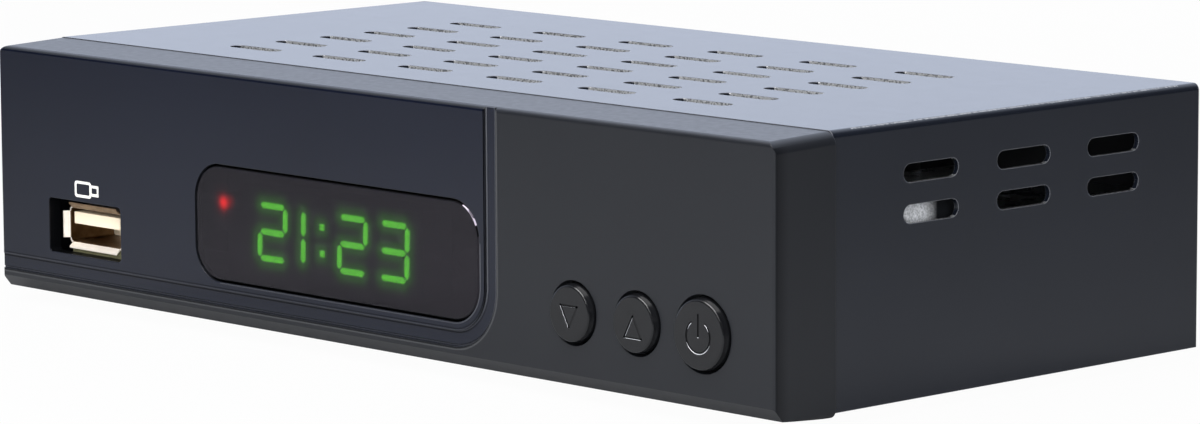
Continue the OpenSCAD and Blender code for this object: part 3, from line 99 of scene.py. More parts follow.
# The moulded front's groove in mm: the polished field's edge, and the round corner of the inner edge
POLISHED_EDGE = (29.45, 4.85)
GROOVE_X, GROOVE_Z, GROOVE_R = 27.15, 7.15, 6.65
# Painted highlight lines and painted shade lines along it in mm: X, Z, half width, and how light or, below 0,
# how dark they are when level and upright
PAINTED_GROOVE_LINES = (
    (27.00, 7.45, 0.10, -0.45, -1.0),
    (27.32, 7.18, 0.14, 0.012, 0.070),
    (27.62, 6.86, 0.10, -0.60, -0.15),
    (29.05, 4.98, 0.10, 0.018, 0.035),
    (29.22, 4.69, 0.10, -0.55, -0.80),
    (29.65, 4.45, 0.11, 0.030, 0.040),
)
# Painted highlight line beside the window, in the same columns, and the X and Z in mm that bound where it is
# drawn
WINDOW_HIGHLIGHT_LINE = (26.12, 8.18, 0.10, 0.025, 0.050)
WINDOW_LINE_FROM_X, WINDOW_LINE_TO_Z = -31.0, 20.0

# How squarely a face has to look along an axis to count as facing it
SQUARE = 0.9


def groove_radius(edge_x, edge_z):
    """Radius of the turn of a line beside the groove, for the line's X and Z in mm"""
    return (GROOVE_R + (edge_x - GROOVE_X + GROOVE_Z - edge_z) / 2) * MM


class Shader:
    """One material's node tree, with short calls for the nodes that it is made of"""

    def __init__(self, name):
        self.material = bpy.data.materials.new(name)
        self.material.use_nodes = True
        self.nodes = self.material.node_tree.nodes
        self.links = self.material.node_tree.links
        self.bsdf = self.nodes["Principled BSDF"]
        self.output = self.nodes["Material Output"]
        self.place = self.nodes.new("ShaderNodeTexCoord").outputs["Object"]

    def set(self, values):
        """Constants on the shader's own sockets"""
        for name, value in values.items():
            self.bsdf.inputs[name].default_value = value

    def feed(self, name, socket):
        """Varying value for one of the shader's sockets"""
        self.links.new(socket, self.bsdf.inputs[name])

    def node(self, kind, inputs=(), **settings):
        """New node with its settings and its inputs, each a constant or a socket"""
        node = self.nodes.new(kind)
        for key, value in settings.items():
            setattr(node, key, value)
        for key, value in dict(inputs).items():
            if isinstance(value, bpy.types.NodeSocket):
                self.links.new(value, node.inputs[key])
            else:
                node.inputs[key].default_value = value
        return node

    def spread(self, size, stretch):
        """Place in units of the given size, drawn out along each axis by the stretch"""
        scale = [1.0 / (size * s) for s in stretch]
        return self.node("ShaderNodeMapping", {"Vector": self.place, "Scale": scale}).outputs["Vector"]

    def noise(self, size, detail=2.0, stretch=(1, 1, 1)):
        """Soft noise with spots of about the given size in metres"""
        inputs = {"Vector": self.spread(size, stretch), "Scale": 1.0, "Detail": detail}
        return self.node("ShaderNodeTexNoise", inputs).outputs["Fac"]

    def cells(self, size, feature="F1"):
        """Distance to the middle or the edge of cells of about the given size in metres"""
        inputs = {"Vector": self.spread(size, (1, 1, 1)), "Scale": 1.0}
        return self.node("ShaderNodeTexVoronoi", inputs, feature=feature).outputs["Distance"]

    def ramp(self, factor, stops):
        """Colours along a factor, as pairs of position and colour"""
        node = self.node("ShaderNodeValToRGB", {"Fac": factor})
        elements = node.color_ramp.elements
        while len(elements) < len(stops):
            elements.new(0.5)
        for element, (position, colour) in zip(elements, stops):
            element.position = position
            element.color = (*colour, 1.0)
        return node.outputs["Color"]

    def fade(self, factor, start, end, low, high):
        """Number that goes from low to high while the factor goes from start to end"""
        inputs = {"Value": factor, "From Min": start, "From Max": end, "To Min": low, "To Max": high}
        return self.node("ShaderNodeMapRange", inputs).outputs["Result"]

    def mix(self, factor, a, b):
        """Colour between two colours, each a constant or a socket"""
        node = self.node("ShaderNodeMix", {"Factor": factor}, data_type="RGBA")
        for socket, value in ((node.inputs[6], a), (node.inputs[7], b)):
            if isinstance(value, bpy.types.NodeSocket):
                self.links.new(value, socket)
            else:
                socket.default_value = (*value, 1.0)
        return node.outputs[2]

    def math(self, operation, a, b=0.0):
        """Result of an operation on two numbers, each a constant or a socket"""
        return self.node("ShaderNodeMath", {0: a, 1: b}, operation=operation).outputs["Value"]

    def length(self, a, b):
        """Length of the long side over two short ones"""
        return self.math("SQRT", self.math("ADD", self.math("MULTIPLY", a, a), self.math("MULTIPLY", b, b)))

    def both(self, a, b):
        """Where two masks overlap"""
        return self.math("MULTIPLY", a, b)

    def split(self, vector):
        """X, Y and Z of a vector"""
        return self.node("ShaderNodeSeparateXYZ", {"Vector": vector}).outputs

    def facing(self):
        """How much the surface faces along each axis, either way, before bumps"""
        normal = self.node("ShaderNodeNewGeometry").outputs["True Normal"]
        return [self.math("ABSOLUTE", part) for part in self.split(normal)]

    def over(self, value, limit):
        """1 where a value is above a limit, else 0"""
        return self.math("GREATER_THAN", value, limit)

    def under(self, value, limit):
        """1 where a value is below a limit, else 0"""
        return self.math("LESS_THAN", value, limit)

    def within(self, value, low, high):
        """1 where a value is between two limits, else 0"""
        return self.both(self.over(value, low), self.under(value, high))

    def beside_node(self, node, left, right, below, above):
        """1 where a place is in a node's box in X and Z, with a margin on each side"""
        low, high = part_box(node)
        place = self.split(self.place)
        in_x = self.within(place["X"], low.x - left, high.x + right)
        in_z = self.within(place["Z"], low.z - below, high.z + above)
        return self.both(in_x, in_z)

    def past_groove(self, x, z, edge_x, edge_z):
        """Distance past a line that comes down, turns and runs to the left, below 0 on its inner side"""
        r = groove_radius(edge_x, edge_z)
        out_x = self.math("SUBTRACT", x, edge_x * MM - r)
        out_z = self.math("SUBTRACT", edge_z * MM + r, z)
        past_x, past_z = self.math("MAXIMUM", out_x, 0.0), self.math("MAXIMUM", out_z, 0.0)
        short = self.math("MINIMUM", self.math("MAXIMUM", out_x, out_z), 0.0)
        return self.math("SUBTRACT", self.math("ADD", self.length(past_x, past_z), short), r)

    def line_mask(self, x, z, line):
        """How much a place is on one of the groove's lines, times the line's strength"""
        edge_x, edge_z, half, level, upright = line
        distance = self.past_groove(x, z, edge_x, edge_z)
        turn_from, turn_to = edge_z * MM, edge_z * MM + groove_radius(edge_x, edge_z)
        strength = self.fade(z, turn_from, turn_to, abs(level), abs(upright))
        return self.math("MULTIPLY", self.within(distance, -half * MM, half * MM), strength)

    def rounded_edges(self, radius=EDGE_ROUND):
        """Normal that rounds sharp edges"""
        return self.node("ShaderNodeBevel", {"Radius": radius}, samples=8).outputs["Normal"]

    def edge_mask(self, radius):
        """1 along sharp edges, 0 away from them"""
        flat = self.node("ShaderNodeNewGeometry").outputs["Normal"]
        inputs = {0: self.rounded_edges(radius), 1: flat}
        dot = self.node("ShaderNodeVectorMath", inputs, operation="DOT_PRODUCT").outputs["Value"]
        return self.fade(dot, 0.985, 0.90, 0.0, 1.0)

    def bump(self, height, depth, normal=None):
        """Relief of the given depth in metres, as a normal"""
        inputs = {"Height": height, "Distance": depth, "Strength": 1.0}
        if normal is not None:
            inputs["Normal"] = normal
        return self.node("ShaderNodeBump", inputs).outputs["Normal"]


def shade(colour, factor):
    """Colour made darker or lighter by a factor"""
    return tuple(c * factor for c in colour)


def plastic(name, colour, roughness, grain=0.25 * MM, relief=2.0e-6, spread=0.12, rounded=True):
    """Moulded plastic: faint flow marks in the colour, uneven gloss and a fine grain"""
    s = Shader(name)
    flow = s.noise(9 * MM, 3.0)
    s.feed("Base Color", s.ramp(flow, [(0.3, shade(colour, 1 - spread)), (0.7, shade(colour, 1 + spread))]))
    s.feed("Roughness", s.fade(s.noise(2.5 * MM, 3.0), 0.3, 0.7, roughness - 0.04, roughness + 0.04))
    s.feed("Normal", s.bump(s.noise(grain, 2.0), relief, s.rounded_edges() if rounded else None))
    return s


def metal(name, colour, roughness, streaks=(1, 1, 1), grain=0.3 * MM, relief=1.5e-6, spread=0.10):
    """Bare or plated metal with rolling streaks, uneven gloss and rounded edges"""
    s = Shader(name)
    s.set({"Metallic": 1.0})
    tone = s.noise(2.2 * MM, 4.0, streaks)
    s.feed("Base Color", s.ramp(tone, [(0.25, shade(colour, 1 - spread)), (0.75, shade(colour, 1 + spread))]))
    uneven = s.noise(grain * 3, 3.0, streaks)
    s.feed("Roughness", s.fade(uneven, 0.3, 0.7, roughness - 0.06, roughness + 0.06))
    s.feed("Normal", s.bump(s.noise(grain, 2.0, streaks), relief, s.rounded_edges()))
    return s


def painted_groove_lines(s, x, z):
    """Painted highlight lines and painted shade lines along the front's groove and round the window, as two
    masks
    """
    near_window = s.both(s.over(x, WINDOW_LINE_FROM_X * MM), s.under(z, WINDOW_LINE_TO_Z * MM))
    light, dark = s.both(s.line_mask(x, z, WINDOW_HIGHLIGHT_LINE), near_window), 0.0
    for line in PAINTED_GROOVE_LINES:
        if line[-1] > 0:
            light = s.math("ADD", light, s.line_mask(x, z, line))
        else:
            dark = s.math("MAXIMUM", dark, s.line_mask(x, z, line))
    return light, dark


def front_shadows(s, y):
    """Painted shade: how dark the walls of the USB opening, the lens's seat and the sides behind the front
    edge are
    """
    front_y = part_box("front_bezel")[0].y
    opening = s.beside_node("usb_shell", 4 * MM, 4 * MM, 2 * MM, 2 * MM)
    opening = s.both(opening, s.over(y, front_y + 0.2 * MM))
    seat = s.beside_node("display_window", 2 * MM, 1 * MM, 1 * MM, 2 * MM)
    seat = s.both(seat, s.over(y, front_y + 0.55 * MM))
    # Painted shade on the sides, darkest just behind the front edge
    behind_edge = s.fade(y, front_y + 0.4 * MM, front_y + 2.6 * MM, 0.5, 0.14)
    side = s.both(s.over(s.facing()[0], 0.8), behind_edge)
    return s.math("MAXIMUM", side, s.math("MAXIMUM", seat, s.math("MULTIPLY", opening, 0.85)))


def bezel_plastic(name):
    """Black moulding: satin at the right, polished inside the groove, with painted highlight lines and
    painted shade lines along the groove, painted shade in its openings and behind its front edge, and soft
    edges
    """
    s = Shader(name)
    s.set({"IOR": 1.46})
    x, y, z = s.split(s.place)
    front = s.over(s.facing()[1], SQUARE)
    polished = s.both(s.under(s.past_groove(x, z, *POLISHED_EDGE), 0.0), front)
    flow = s.noise(30 * MM, 3.0)
    satin = s.ramp(flow, [(0.3, (0.0089, 0.0098, 0.0124)), (0.7, (0.0103, 0.0112, 0.0138))])
    gloss = s.ramp(flow, [(0.3, (0.0030, 0.0044, 0.0110)), (0.7, (0.0038, 0.0054, 0.0130))])
    light, dark = painted_groove_lines(s, x, z)
    # The light lines are painted highlights that lift the colour towards white
    skin = s.mix(s.both(light, front), s.mix(polished, satin, gloss), (0.95, 0.97, 1.0))
    # Painted shade: the dark lines and the shade from front_shadows take the colour to near black and take
    # away the gloss
    dark = s.math("MAXIMUM", s.both(dark, front), front_shadows(s, y))
    s.feed("Base Color", s.mix(dark, skin, (0.0004, 0.0004, 0.0005)))
    s.feed("Specular IOR Level", s.fade(dark, 0.0, 1.0, 0.5, 0.0))
    uneven = s.fade(s.noise(1.2 * MM, 4.0), 0.3, 0.7, 0.28, 0.33)
    on_top = s.math("MULTIPLY", s.over(s.facing()[2], SQUARE), 0.03)
    s.feed("Roughness", s.math("ADD", on_top, s.math("SUBTRACT", uneven, s.math("MULTIPLY", polished, 0.25))))
    grain = s.math("ADD", s.noise(0.16 * MM, 2.0), s.cells(0.30 * MM))
    grain = s.math("MULTIPLY", grain, s.fade(polished, 0.0, 1.0, 1.0, 0.06))
    s.feed("Normal", s.bump(grain, 1.0e-6, s.rounded_edges(0.14 * MM)))
    return s


def cover_paint(name):
    """Black enamel on steel: fine orange peel, edges paler as partly wear and partly a painted highlight, and
    bare sheared metal inside the slots
    """
    low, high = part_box("top_cover")
    sheet = 0.8 * MM
    margin = 0.05 * MM
    s = Shader(name)
    x, y, z = s.split(s.place)
    face_y, face_z = s.facing()[1:]
    away = s.within(y, low.y + 4 * MM, high.y - 4 * MM)
    in_top = s.both(s.within(z, high.z - sheet, high.z - margin), s.over(face_y, 0.85))
    half = s.math("ABSOLUTE", x)
    in_side = s.both(s.within(half, high.x - sheet, high.x - margin), s.over(face_z, 0.85))
    sheared = s.both(away, s.math("MAXIMUM", in_top, s.math("MULTIPLY", in_side, 0.35)))
    fleck = s.noise(0.35 * MM, 3.0, (1.4, 1, 1))
    bare = s.math("MULTIPLY", sheared, s.fade(fleck, 0.40, 0.56, 0.15, 1.0))
    # Sharp edges paler: partly worn enamel, partly a painted highlight
    edge = s.math("MULTIPLY", s.edge_mask(0.22 * MM), 0.55)
    enamel = s.ramp(s.noise(24 * MM, 3.0), [(0.3, (0.0048, 0.0062, 0.0105)), (0.7, (0.0060, 0.0076, 0.0125))])
    edge_wear_and_sheen = s.mix(edge, enamel, (0.16, 0.165, 0.18))
    s.feed("Base Color", s.mix(bare, edge_wear_and_sheen, (0.60, 0.61, 0.62)))
    s.feed("Metallic", s.math("MULTIPLY", bare, 0.7))
    gloss = s.fade(s.noise(3 * MM, 3.0), 0.3, 0.7, 0.185, 0.195)
    s.feed("Roughness", s.math("ADD", gloss, s.math("MULTIPLY", bare, 0.15)))
    peel = s.math("ADD", s.noise(0.5 * MM, 2.0), s.math("MULTIPLY", s.noise(0.12 * MM, 1.0), 0.3))
    s.feed("Normal", s.bump(peel, 0.1e-6, s.rounded_edges(0.22 * MM)))
    return s


def usb_nickel(name):
    """Nickel plate, pale on the lips and the outside, with painted brown shade on the inner walls and along
    the top
    """
    low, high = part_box("usb_shell")
    s = Shader(name)
    x, y, z = s.split(s.place)
    normal = s.split(s.node("ShaderNodeNewGeometry").outputs["True Normal"])
    dx = s.math("SUBTRACT", x, (low.x + high.x) / 2)
    dz = s.math("SUBTRACT", z, (low.z + high.z) / 2)
    outwards = s.math("ADD", s.math("MULTIPLY", dx, normal["X"]), s.math("MULTIPLY", dz, normal["Z"]))
    # Painted shade, brown, deep inside the shell and along its top
    deep = s.both(s.under(outwards, -0.5 * MM), s.over(y, low.y + 0.7 * MM))
    tone = s.noise(1.5 * MM, 4.0)
    pale = s.ramp(tone, [(0.25, (0.86, 0.78, 0.68)), (0.75, (0.96, 0.88, 0.78))])
    painted_brown_shade = s.ramp(tone, [(0.25, (0.16, 0.09, 0.04)), (0.75, (0.30, 0.19, 0.10))])
    upper = s.math("MULTIPLY", s.over(z, high.z - 0.9 * MM), 0.95)
    s.feed("Base Color", s.mix(s.math("MAXIMUM", deep, upper), pale, painted_brown_shade))
    s.feed("Metallic", s.fade(deep, 0.0, 1.0, 0.55, 1.0))
    s.feed("Roughness", s.fade(s.noise(0.8 * MM, 3.0), 0.3, 0.7, 0.36, 0.46))
    s.feed("Normal", s.bump(s.noise(0.3 * MM, 2.0), 4.0e-6, s.rounded_edges(0.10 * MM)))
    return s


def speckled_plate(name):
    """Bead-blasted aluminium with speckles, darkened towards the rear as painted shade"""
    s = Shader(name)
    s.set({"Metallic": 0.25, "Roughness": 0.5})
    y = s.split(s.place)["Y"]
    speckle = s.ramp(s.noise(0.30 * MM, 3.0), [(0.35, (0.50, 0.52, 0.55)), (0.65, (0.94, 0.96, 1.0))])
    # Painted shade: the plate darkens towards the rear
    s.feed("Base Color", s.mix(s.fade(y, *PLATE_SHADE_Y, 0.0, 1.0), speckle, (0.010, 0.011, 0.013)))
    s.feed("Normal", s.bump(s.noise(0.22 * MM, 2.0), 1.6e-5, s.rounded_edges()))
    return s


def chassis_paint(name):
    """Black semi-matt paint on folded steel, with the sheet a little lighter along its edges"""
    s = Shader(name)
    tone = s.ramp(s.noise(18 * MM, 3.0), [(0.3, (0.0075, 0.0078, 0.0090)), (0.7, (0.0100, 0.0104, 0.0118))])
    s.feed("Base Color", s.mix(s.math("MULTIPLY", s.edge_mask(0.22 * MM), 0.4), tone, (0.15, 0.155, 0.165)))
    s.feed("Roughness", s.fade(s.noise(2.5 * MM, 3.0), 0.3, 0.7, 0.36, 0.44))
    s.feed("Normal", s.bump(s.noise(0.25 * MM, 2.0), 2.5e-6, s.rounded_edges(0.22 * MM)))
    return s


def circuit_board(name, axis, mask_tone, track_tone, pad_tone):
    """Laminate with a coloured mask, tracks and tinned pads on its faces and bare layers on its edges"""
    s = Shader(name)
    on_face = s.over(s.facing()[axis], 0.5)
    tracks = s.fade(s.cells(2.4 * MM, "DISTANCE_TO_EDGE"), 0.05, 0.09, 1.0, 0.0)
    pads = s.fade(s.cells(1.9 * MM), 0.16, 0.20, 1.0, 0.0)
    mask = s.ramp(s.noise(4 * MM, 3.0), [(0.3, shade(mask_tone, 0.87)), (0.7, shade(mask_tone, 1.13))])
    masked = s.mix(tracks, mask, track_tone)
    copper = s.mix(pads, masked, pad_tone)
    layers = s.noise(0.18 * MM, 2.0, (8, 8, 1) if axis == 2 else (8, 1, 8))
    laminate = s.ramp(layers, [(0.35, (0.10, 0.096, 0.050)), (0.65, (0.17, 0.165, 0.090))])
    s.feed("Base Color", s.mix(on_face, laminate, copper))
    s.feed("Metallic", s.math("MULTIPLY", s.math("MULTIPLY", pads, on_face), 0.8))
    s.feed("Roughness", s.fade(on_face, 0.0, 1.0, 0.75, 0.36))
    relief = s.math("ADD", s.math("MULTIPLY", s.math("ADD", tracks, pads), on_face), layers)
    s.feed("Normal", s.bump(relief, 8.0e-6))
    return s


def smoked_lens(name):
    """Polished smoked acrylic with faint wipe marks and blackened walls"""
    s = Shader(name)
    s.set({"IOR": 1.49, "Specular Tint": (*LENS_GLOSS, 1.0)})
    flat = s.facing()[1]
    wall, rim = s.under(flat, 0.35), s.under(flat, SQUARE)
    s.feed("Base Color", s.mix(rim, LENS_TINT, (0.002, 0.002, 0.002)))
    s.feed("Transmission Weight", s.math("SUBTRACT", 1.0, rim))
    s.feed("Specular IOR Level", s.fade(wall, 0.0, 1.0, 0.5, 0.0))
    wipe = s.noise(3 * MM, 4.0, (3, 1, 1))
    s.feed("Roughness", s.fade(wipe, 0.3, 0.7, 0.015, 0.05))
    s.feed("Normal", s.bump(wipe, 0.6e-6, s.rounded_edges(0.10 * MM)))
    return s


def lit_green(name):
    """Lit bars: green light, a little brighter along their middle"""
    s = Shader(name)
    s.set({"Base Color": (0.05, 0.22, 0.03, 1.0), "Roughness": 0.5})
    grain = s.noise(0.5 * MM, 2.0)
    s.feed("Emission Color", s.ramp(grain, [(0.3, shade(GREEN, 0.88)), (0.7, GREEN)]))
    s.feed("Emission Strength", s.fade(s.edge_mask(0.24 * MM), 0.0, 1.0, 9.6, 4.5))
    return s


def lit_red(name):
    """Lit lamp: a red core that fades towards the rim of the dome"""
    low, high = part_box("status_led")
    middle = (low + high) / 2
    s = Shader(name)
    s.set({"Base Color": (0.20, 0.006, 0.006, 1.0), "Roughness": 0.3})
    x, y, z = s.split(s.place)
    dx = s.math("SUBTRACT", x, middle.x + LAMP_SHIFT)
    dz = s.math("SUBTRACT", z, middle.z)
    radius = s.length(dx, dz)
    flicker = s.noise(0.4 * MM, 2.0)
    s.feed("Emission Color", s.ramp(flicker, [(0.3, shade(RED, 0.9)), (0.7, RED)]))
    core = s.fade(radius, 0.2 * MM, 1.3 * MM, 2.5, 0.05)
    dome = s.fade(y, low.y + 0.6 * MM, low.y + 1.4 * MM, 1.0, 0.0)
    s.feed("Emission Strength", s.math("MULTIPLY", core, dome))
    return s


def sign_plastic(name):
    """Button plastic inside the engraved lines: walls that look up get a painted highlight and full gloss,
    the others less gloss
    """
    s = Shader(name)
    s.set({"IOR": 1.46})
    painted_glint_and_gloss = s.node("ShaderNodeAttribute", attribute_name="painted_glint_and_gloss").outputs["Fac"]
    black = s.ramp(s.noise(1.0 * MM, 2.0), [(0.3, (0.0020, 0.0021, 0.0024)), (0.7, (0.0030, 0.0031, 0.0034))])
    # Painted highlight: walls that look up are paler
    s.feed("Base Color", s.mix(s.fade(painted_glint_and_gloss, 0.85, 1.0, 0.0, 1.0), black, (0.40, 0.41, 0.43)))
    s.feed("Roughness", s.fade(s.noise(0.6 * MM, 2.0), 0.3, 0.7, 0.17, 0.23))
    s.feed("Specular IOR Level", s.math("MULTIPLY", painted_glint_and_gloss, 0.5))
    return s


def glow_film(name):
    """Clear film that carries a painted glow round the bars and the lamp, standing for their scattered light
    """
    s = Shader(name)
    s.nodes.remove(s.bsdf)
    lights = [s.node("ShaderNodeBsdfTransparent").outputs["BSDF"]]
    for attribute, colour in (("green_glow", GREEN), ("red_glow", RED)):
        strength = s.node("ShaderNodeAttribute", attribute_name=attribute).outputs["Fac"]
        mottle = s.fade(s.noise(0.6 * MM, 2.0), 0.3, 0.7, 0.92, 1.08)
        forward = s.math("SUBTRACT", 1.0, s.node("ShaderNodeNewGeometry").outputs["Backfacing"])
        strength = s.math("MULTIPLY", s.math("MULTIPLY", strength, mottle), forward)
        inputs = {"Color": (*colour, 1.0), "Strength": strength}
        lights.append(s.node("ShaderNodeEmission", inputs).outputs["Emission"])
    total = lights[0]
    for light in lights[1:]:
        total = s.node("ShaderNodeAddShader", {0: total, 1: light}).outputs["Shader"]
    s.links.new(total, s.output.inputs["Surface"])
    return s


def make_materials():
    """One material for each of the record's slots, each node with its own look, the signs and the film"""
    made = {
        "bezel_plastic": bezel_plastic("bezel_plastic"),
        "smoked_lens": smoked_lens("smoked_lens"),
        "cover_paint": cover_paint("cover_paint"),
        "chassis_paint": chassis_paint("chassis_paint"),
        "foot_rubber": plastic("foot_rubber", (0.018, 0.018, 0.019), 0.78, 0.4 * MM, 1.2e-5),
        "dark_screw": metal("dark_screw", (0.055, 0.056, 0.060), 0.38),
        "plated_screw": metal("plated_screw", (0.60, 0.60, 0.58), 0.32),
        "circuit_board": circuit_board("circuit_board", 2, *GREEN_BOARD),
        "upright_board": circuit_board("upright_board", 1, *BLACK_BOARD),
        "display_body": plastic("display_body", (0.010, 0.010, 0.010), 0.60),
        "lit_green": lit_green("lit_green"),
        "lit_red": lit_red("lit_red"),
        "sensor_epoxy": plastic("sensor_epoxy", (0.020, 0.014, 0.018), 0.20, relief=0.5e-6),
        "switch_body": plastic("switch_body", (0.050, 0.050, 0.054), 0.45),
        "black_plastic": plastic("black_plastic", (0.012, 0.012, 0.013), 0.40),
        "button_plastic": plastic("button_plastic", BUTTON_BLACK, 0.19, 0.20 * MM, 0.6e-6, rounded=False),
        "sign_plastic": sign_plastic("sign_plastic"),
        "nickel_shell": metal("nickel_shell", (0.76, 0.73, 0.68), 0.20),
        "usb_nickel": usb_nickel("usb_nickel"),
        "cream_plastic": plastic("cream_plastic", (0.93, 0.80, 0.60), 0.45, spread=0.03),
        "gold_contact": metal("gold_contact", (0.80, 0.58, 0.25), 0.25),
        "chip_epoxy": plastic("chip_epoxy", (0.026, 0.026, 0.028), 0.62, 0.18 * MM, 5.0e-6),
        "bare_aluminium": metal("bare_aluminium", (0.72, 0.73, 0.74), 0.36, (1, 8, 1)),
        "speckled_plate": speckled_plate("speckled_plate"),
        "tinned_steel": metal("tinned_steel", (0.68, 0.69, 0.69), 0.30, (4, 4, 1)),
        "capacitor_sleeve": plastic("capacitor_sleeve", (0.022, 0.026, 0.040), 0.25, relief=0.8e-6),
        "ferrite": plastic("ferrite", (0.065, 0.060, 0.056), 0.66, 0.3 * MM, 9.0e-6),
        "white_plastic": plastic("white_plastic", (0.80, 0.79, 0.74), 0.40, spread=0.04),
        "orange_plastic": plastic("orange_plastic", (0.70, 0.24, 0.03), 0.38, spread=0.07),
        "glow_film": glow_film("glow_film"),
    }
    return {name: shader.material for name, shader in made.items()}


def dress_nodes(materials):
    """Give each CAD node the material of its slot"""
    for part in frame["record"]["subparts"]:
        name = OWN_LOOK.get(part["node"], part["material_slot"])
        mesh = frame["nodes"][part["node"]].data
        mesh.materials.clear()
        mesh.materials.append(materials[name])


def add_piece(name, vertices, faces, material, body, smooth=True):
    """New mesh piece that rides on a body"""
    mesh = bpy.data.meshes.new(name)
    mesh.from_pydata(vertices, [], faces)
    mesh.update()
    mesh.materials.append(material)
    mesh.polygons.foreach_set("use_smooth", [smooth] * len(mesh.polygons))
    piece = bpy.data.objects.new(name, mesh)
    bpy.context.scene.collection.objects.link(piece)
    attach(piece, body)
    return piece


def sign_line(name, path, face_y, body, materials, slope=1.3, dull=0.12):
    """Engraved line along a path of X and Z on a face towards -Y: a strip shaded as a round groove"""
    half, lift = 0.15 * MM, 0.012 * MM
    across, cap_steps = 6, 4
    path = np.array(path, float)
    count = len(path)
    sections = []
    for i, point in enumerate(path):
        before, after = path[max(i - 1, 0)], path[min(i + 1, count - 1)]
        ways = [w / np.linalg.norm(w) for w in (point - before, after - point) if np.linalg.norm(w) > 0]
        way = sum(ways) / np.linalg.norm(sum(ways))
        side = np.array([-way[1], way[0]])
        reach = 1.0 / max(0.5, abs(np.dot(side, [-ways[0][1], ways[0][0]])))
        sections.append((point, point, side * reach))
        if i in (0, count - 1):
            out = way if i else -way
            tip = [(point, point + out * half * math.sin(a), side * max(math.cos(a), 0.02))
                   for a in (math.pi / 2 * k / cap_steps for k in range(1, cap_steps + 1))]
            sections = tip[::-1] + sections if i == 0 else sections + tip
    vertices, normals = [], []
    for root, point, side in sections:
        for k in range(across + 1):
            x, z = point + side * half * (2 * k / across - 1)
            lean = np.array([root[0] - x, root[1] - z]) / half
            lean *= slope / max(1.0, np.linalg.norm(lean))
            vertices.append((x, face_y - lift, z))
            normals.append(Vector((lean[0], -1.0, lean[1])).normalized())
    ring = across + 1
    faces = []
    for a in range(0, (len(sections) - 1) * ring, ring):
        b = a + ring
        faces += [(a + k, b + k, b + k + 1, a + k + 1) for k in range(across)]
    piece = add_piece(name, vertices, faces, materials["sign_plastic"], body)
    # Walls that look up get a painted highlight and full gloss, the others the dull share of gloss
    painted_glint_and_gloss = [1.0 if n.z > 0.25 else dull for n in normals]
    piece.data.attributes.new("painted_glint_and_gloss", "FLOAT", "POINT").data.foreach_set("value", painted_glint_and_gloss)
    piece.data.normals_split_custom_set_from_vertices(normals)


def button_signs(materials):
    """Engraved arrows and the on-off sign on the three buttons"""
    arrow_w, arrow_h, arrow_drop = 3.3 * MM, 3.0 * MM, 0.4 * MM
    for name, up in (("down", -1), ("up", 1)):
        low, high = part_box(f"{name}_button")
        x, z = (low.x + high.x) / 2, (low.z + high.z) / 2 - arrow_drop
        foot = z - up * arrow_h / 2
        left, right, tip = (x - arrow_w / 2, foot), (x + arrow_w / 2, foot), (x, foot + up * arrow_h)
        for edge, ends, slope, dull in (("left", (left, tip), 1.3, 0.12), ("right", (right, tip), 0.25, 0.80),
                                        ("foot", (left, right), 0.7 if up > 0 else 0.35, 0.45)):
            sign_line(f"{name}_arrow_{edge}", ends, low.y, f"{name}_key", materials, slope, dull)
    ring_r, gap_half, bar_top, sign_drop = 2.25 * MM, math.radians(36), 3.0 * MM, 0.25 * MM
    low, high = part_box("power_button")
    x, z = (low.x + high.x) / 2, (low.z + high.z) / 2 - sign_drop
    steps = 40
    angles = [gap_half + (2 * math.pi - 2 * gap_half) * i / steps for i in range(steps + 1)]
    ring = [(x + ring_r * math.sin(a), z + ring_r * math.cos(a)) for a in angles]
    sign_line("power_ring", ring, low.y, "power_key", materials)
    bar = [(x, z), (x, z + bar_top / 2), (x, z + bar_top)]
    sign_line("power_bar", bar, low.y, "power_key", materials)


def rounded_outline(x0, z0, x1, z1, r, steps=5):
    """Points round a rectangle with rounded corners"""
    points = []
    corners = ((x1 - r, z1 - r, 0), (x0 + r, z1 - r, 90), (x0 + r, z0 + r, 180), (x1 - r, z0 + r, 270))
    for cx, cz, start in corners:
        for k in range(steps + 1):
            angle = math.radians(start + 90 * k / steps)
            points.append((cx + r * math.cos(angle), cz + r * math.sin(angle)))
    return points


def usb_mark(materials):
    """Small printed picture of a memory stick above the USB socket"""
    low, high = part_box("usb_shell")
    x, z = (low.x + high.x) / 2 + 0.65 * MM, high.z + 2.55 * MM
    face_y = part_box("front_bezel")[0].y
    ink = 0.03 * MM
    line = 0.42 * MM
    stick_w, plug_w, stick_h, plug_h = 4.0 * MM, 1.8 * MM, 2.5 * MM, 1.7 * MM
    x0 = x - (stick_w + plug_w) / 2
    x1, x2 = x0 + stick_w, x0 + stick_w + plug_w
    stick_z, plug_z, joint = stick_h / 2, plug_h / 2, 0.1 * MM
    shapes = [
        (rounded_outline(x0, z - stick_z, x1, z + stick_z, 0.5 * MM),
         rounded_outline(x0 + line, z - stick_z + line, x1 - line, z + stick_z - line, 0.25 * MM)),
        (rounded_outline(x1, z - plug_z, x2, z + plug_z, 0.12 * MM),
         rounded_outline(x1 + joint, z - plug_z + line, x2 - line, z + plug_z - line, 0.08 * MM)),
    ]
    vertices, faces = [], []
    for outer, inner in shapes:
        start = len(vertices)
        flat = outer + inner
        fill = tessellate_polygon([[Vector((a, b, 0)) for a, b in loop] for loop in (outer, inner)])
        for depth in (face_y - ink, face_y):
            vertices += [(a, depth, b) for a, b in flat]
        faces += [tuple(start + i for i in tri) for tri in fill]
        n, m = len(flat), len(outer)
        for first, last in ((0, m), (m, n)):
            for i in range(first, last):
                j = i + 1 if i + 1 < last else first
                faces.append((start + i, start + j, start + n + j, start + n + i))
    white = materials["white_plastic"]
    add_piece("usb_mark", vertices, faces, white, "housing", smooth=False)


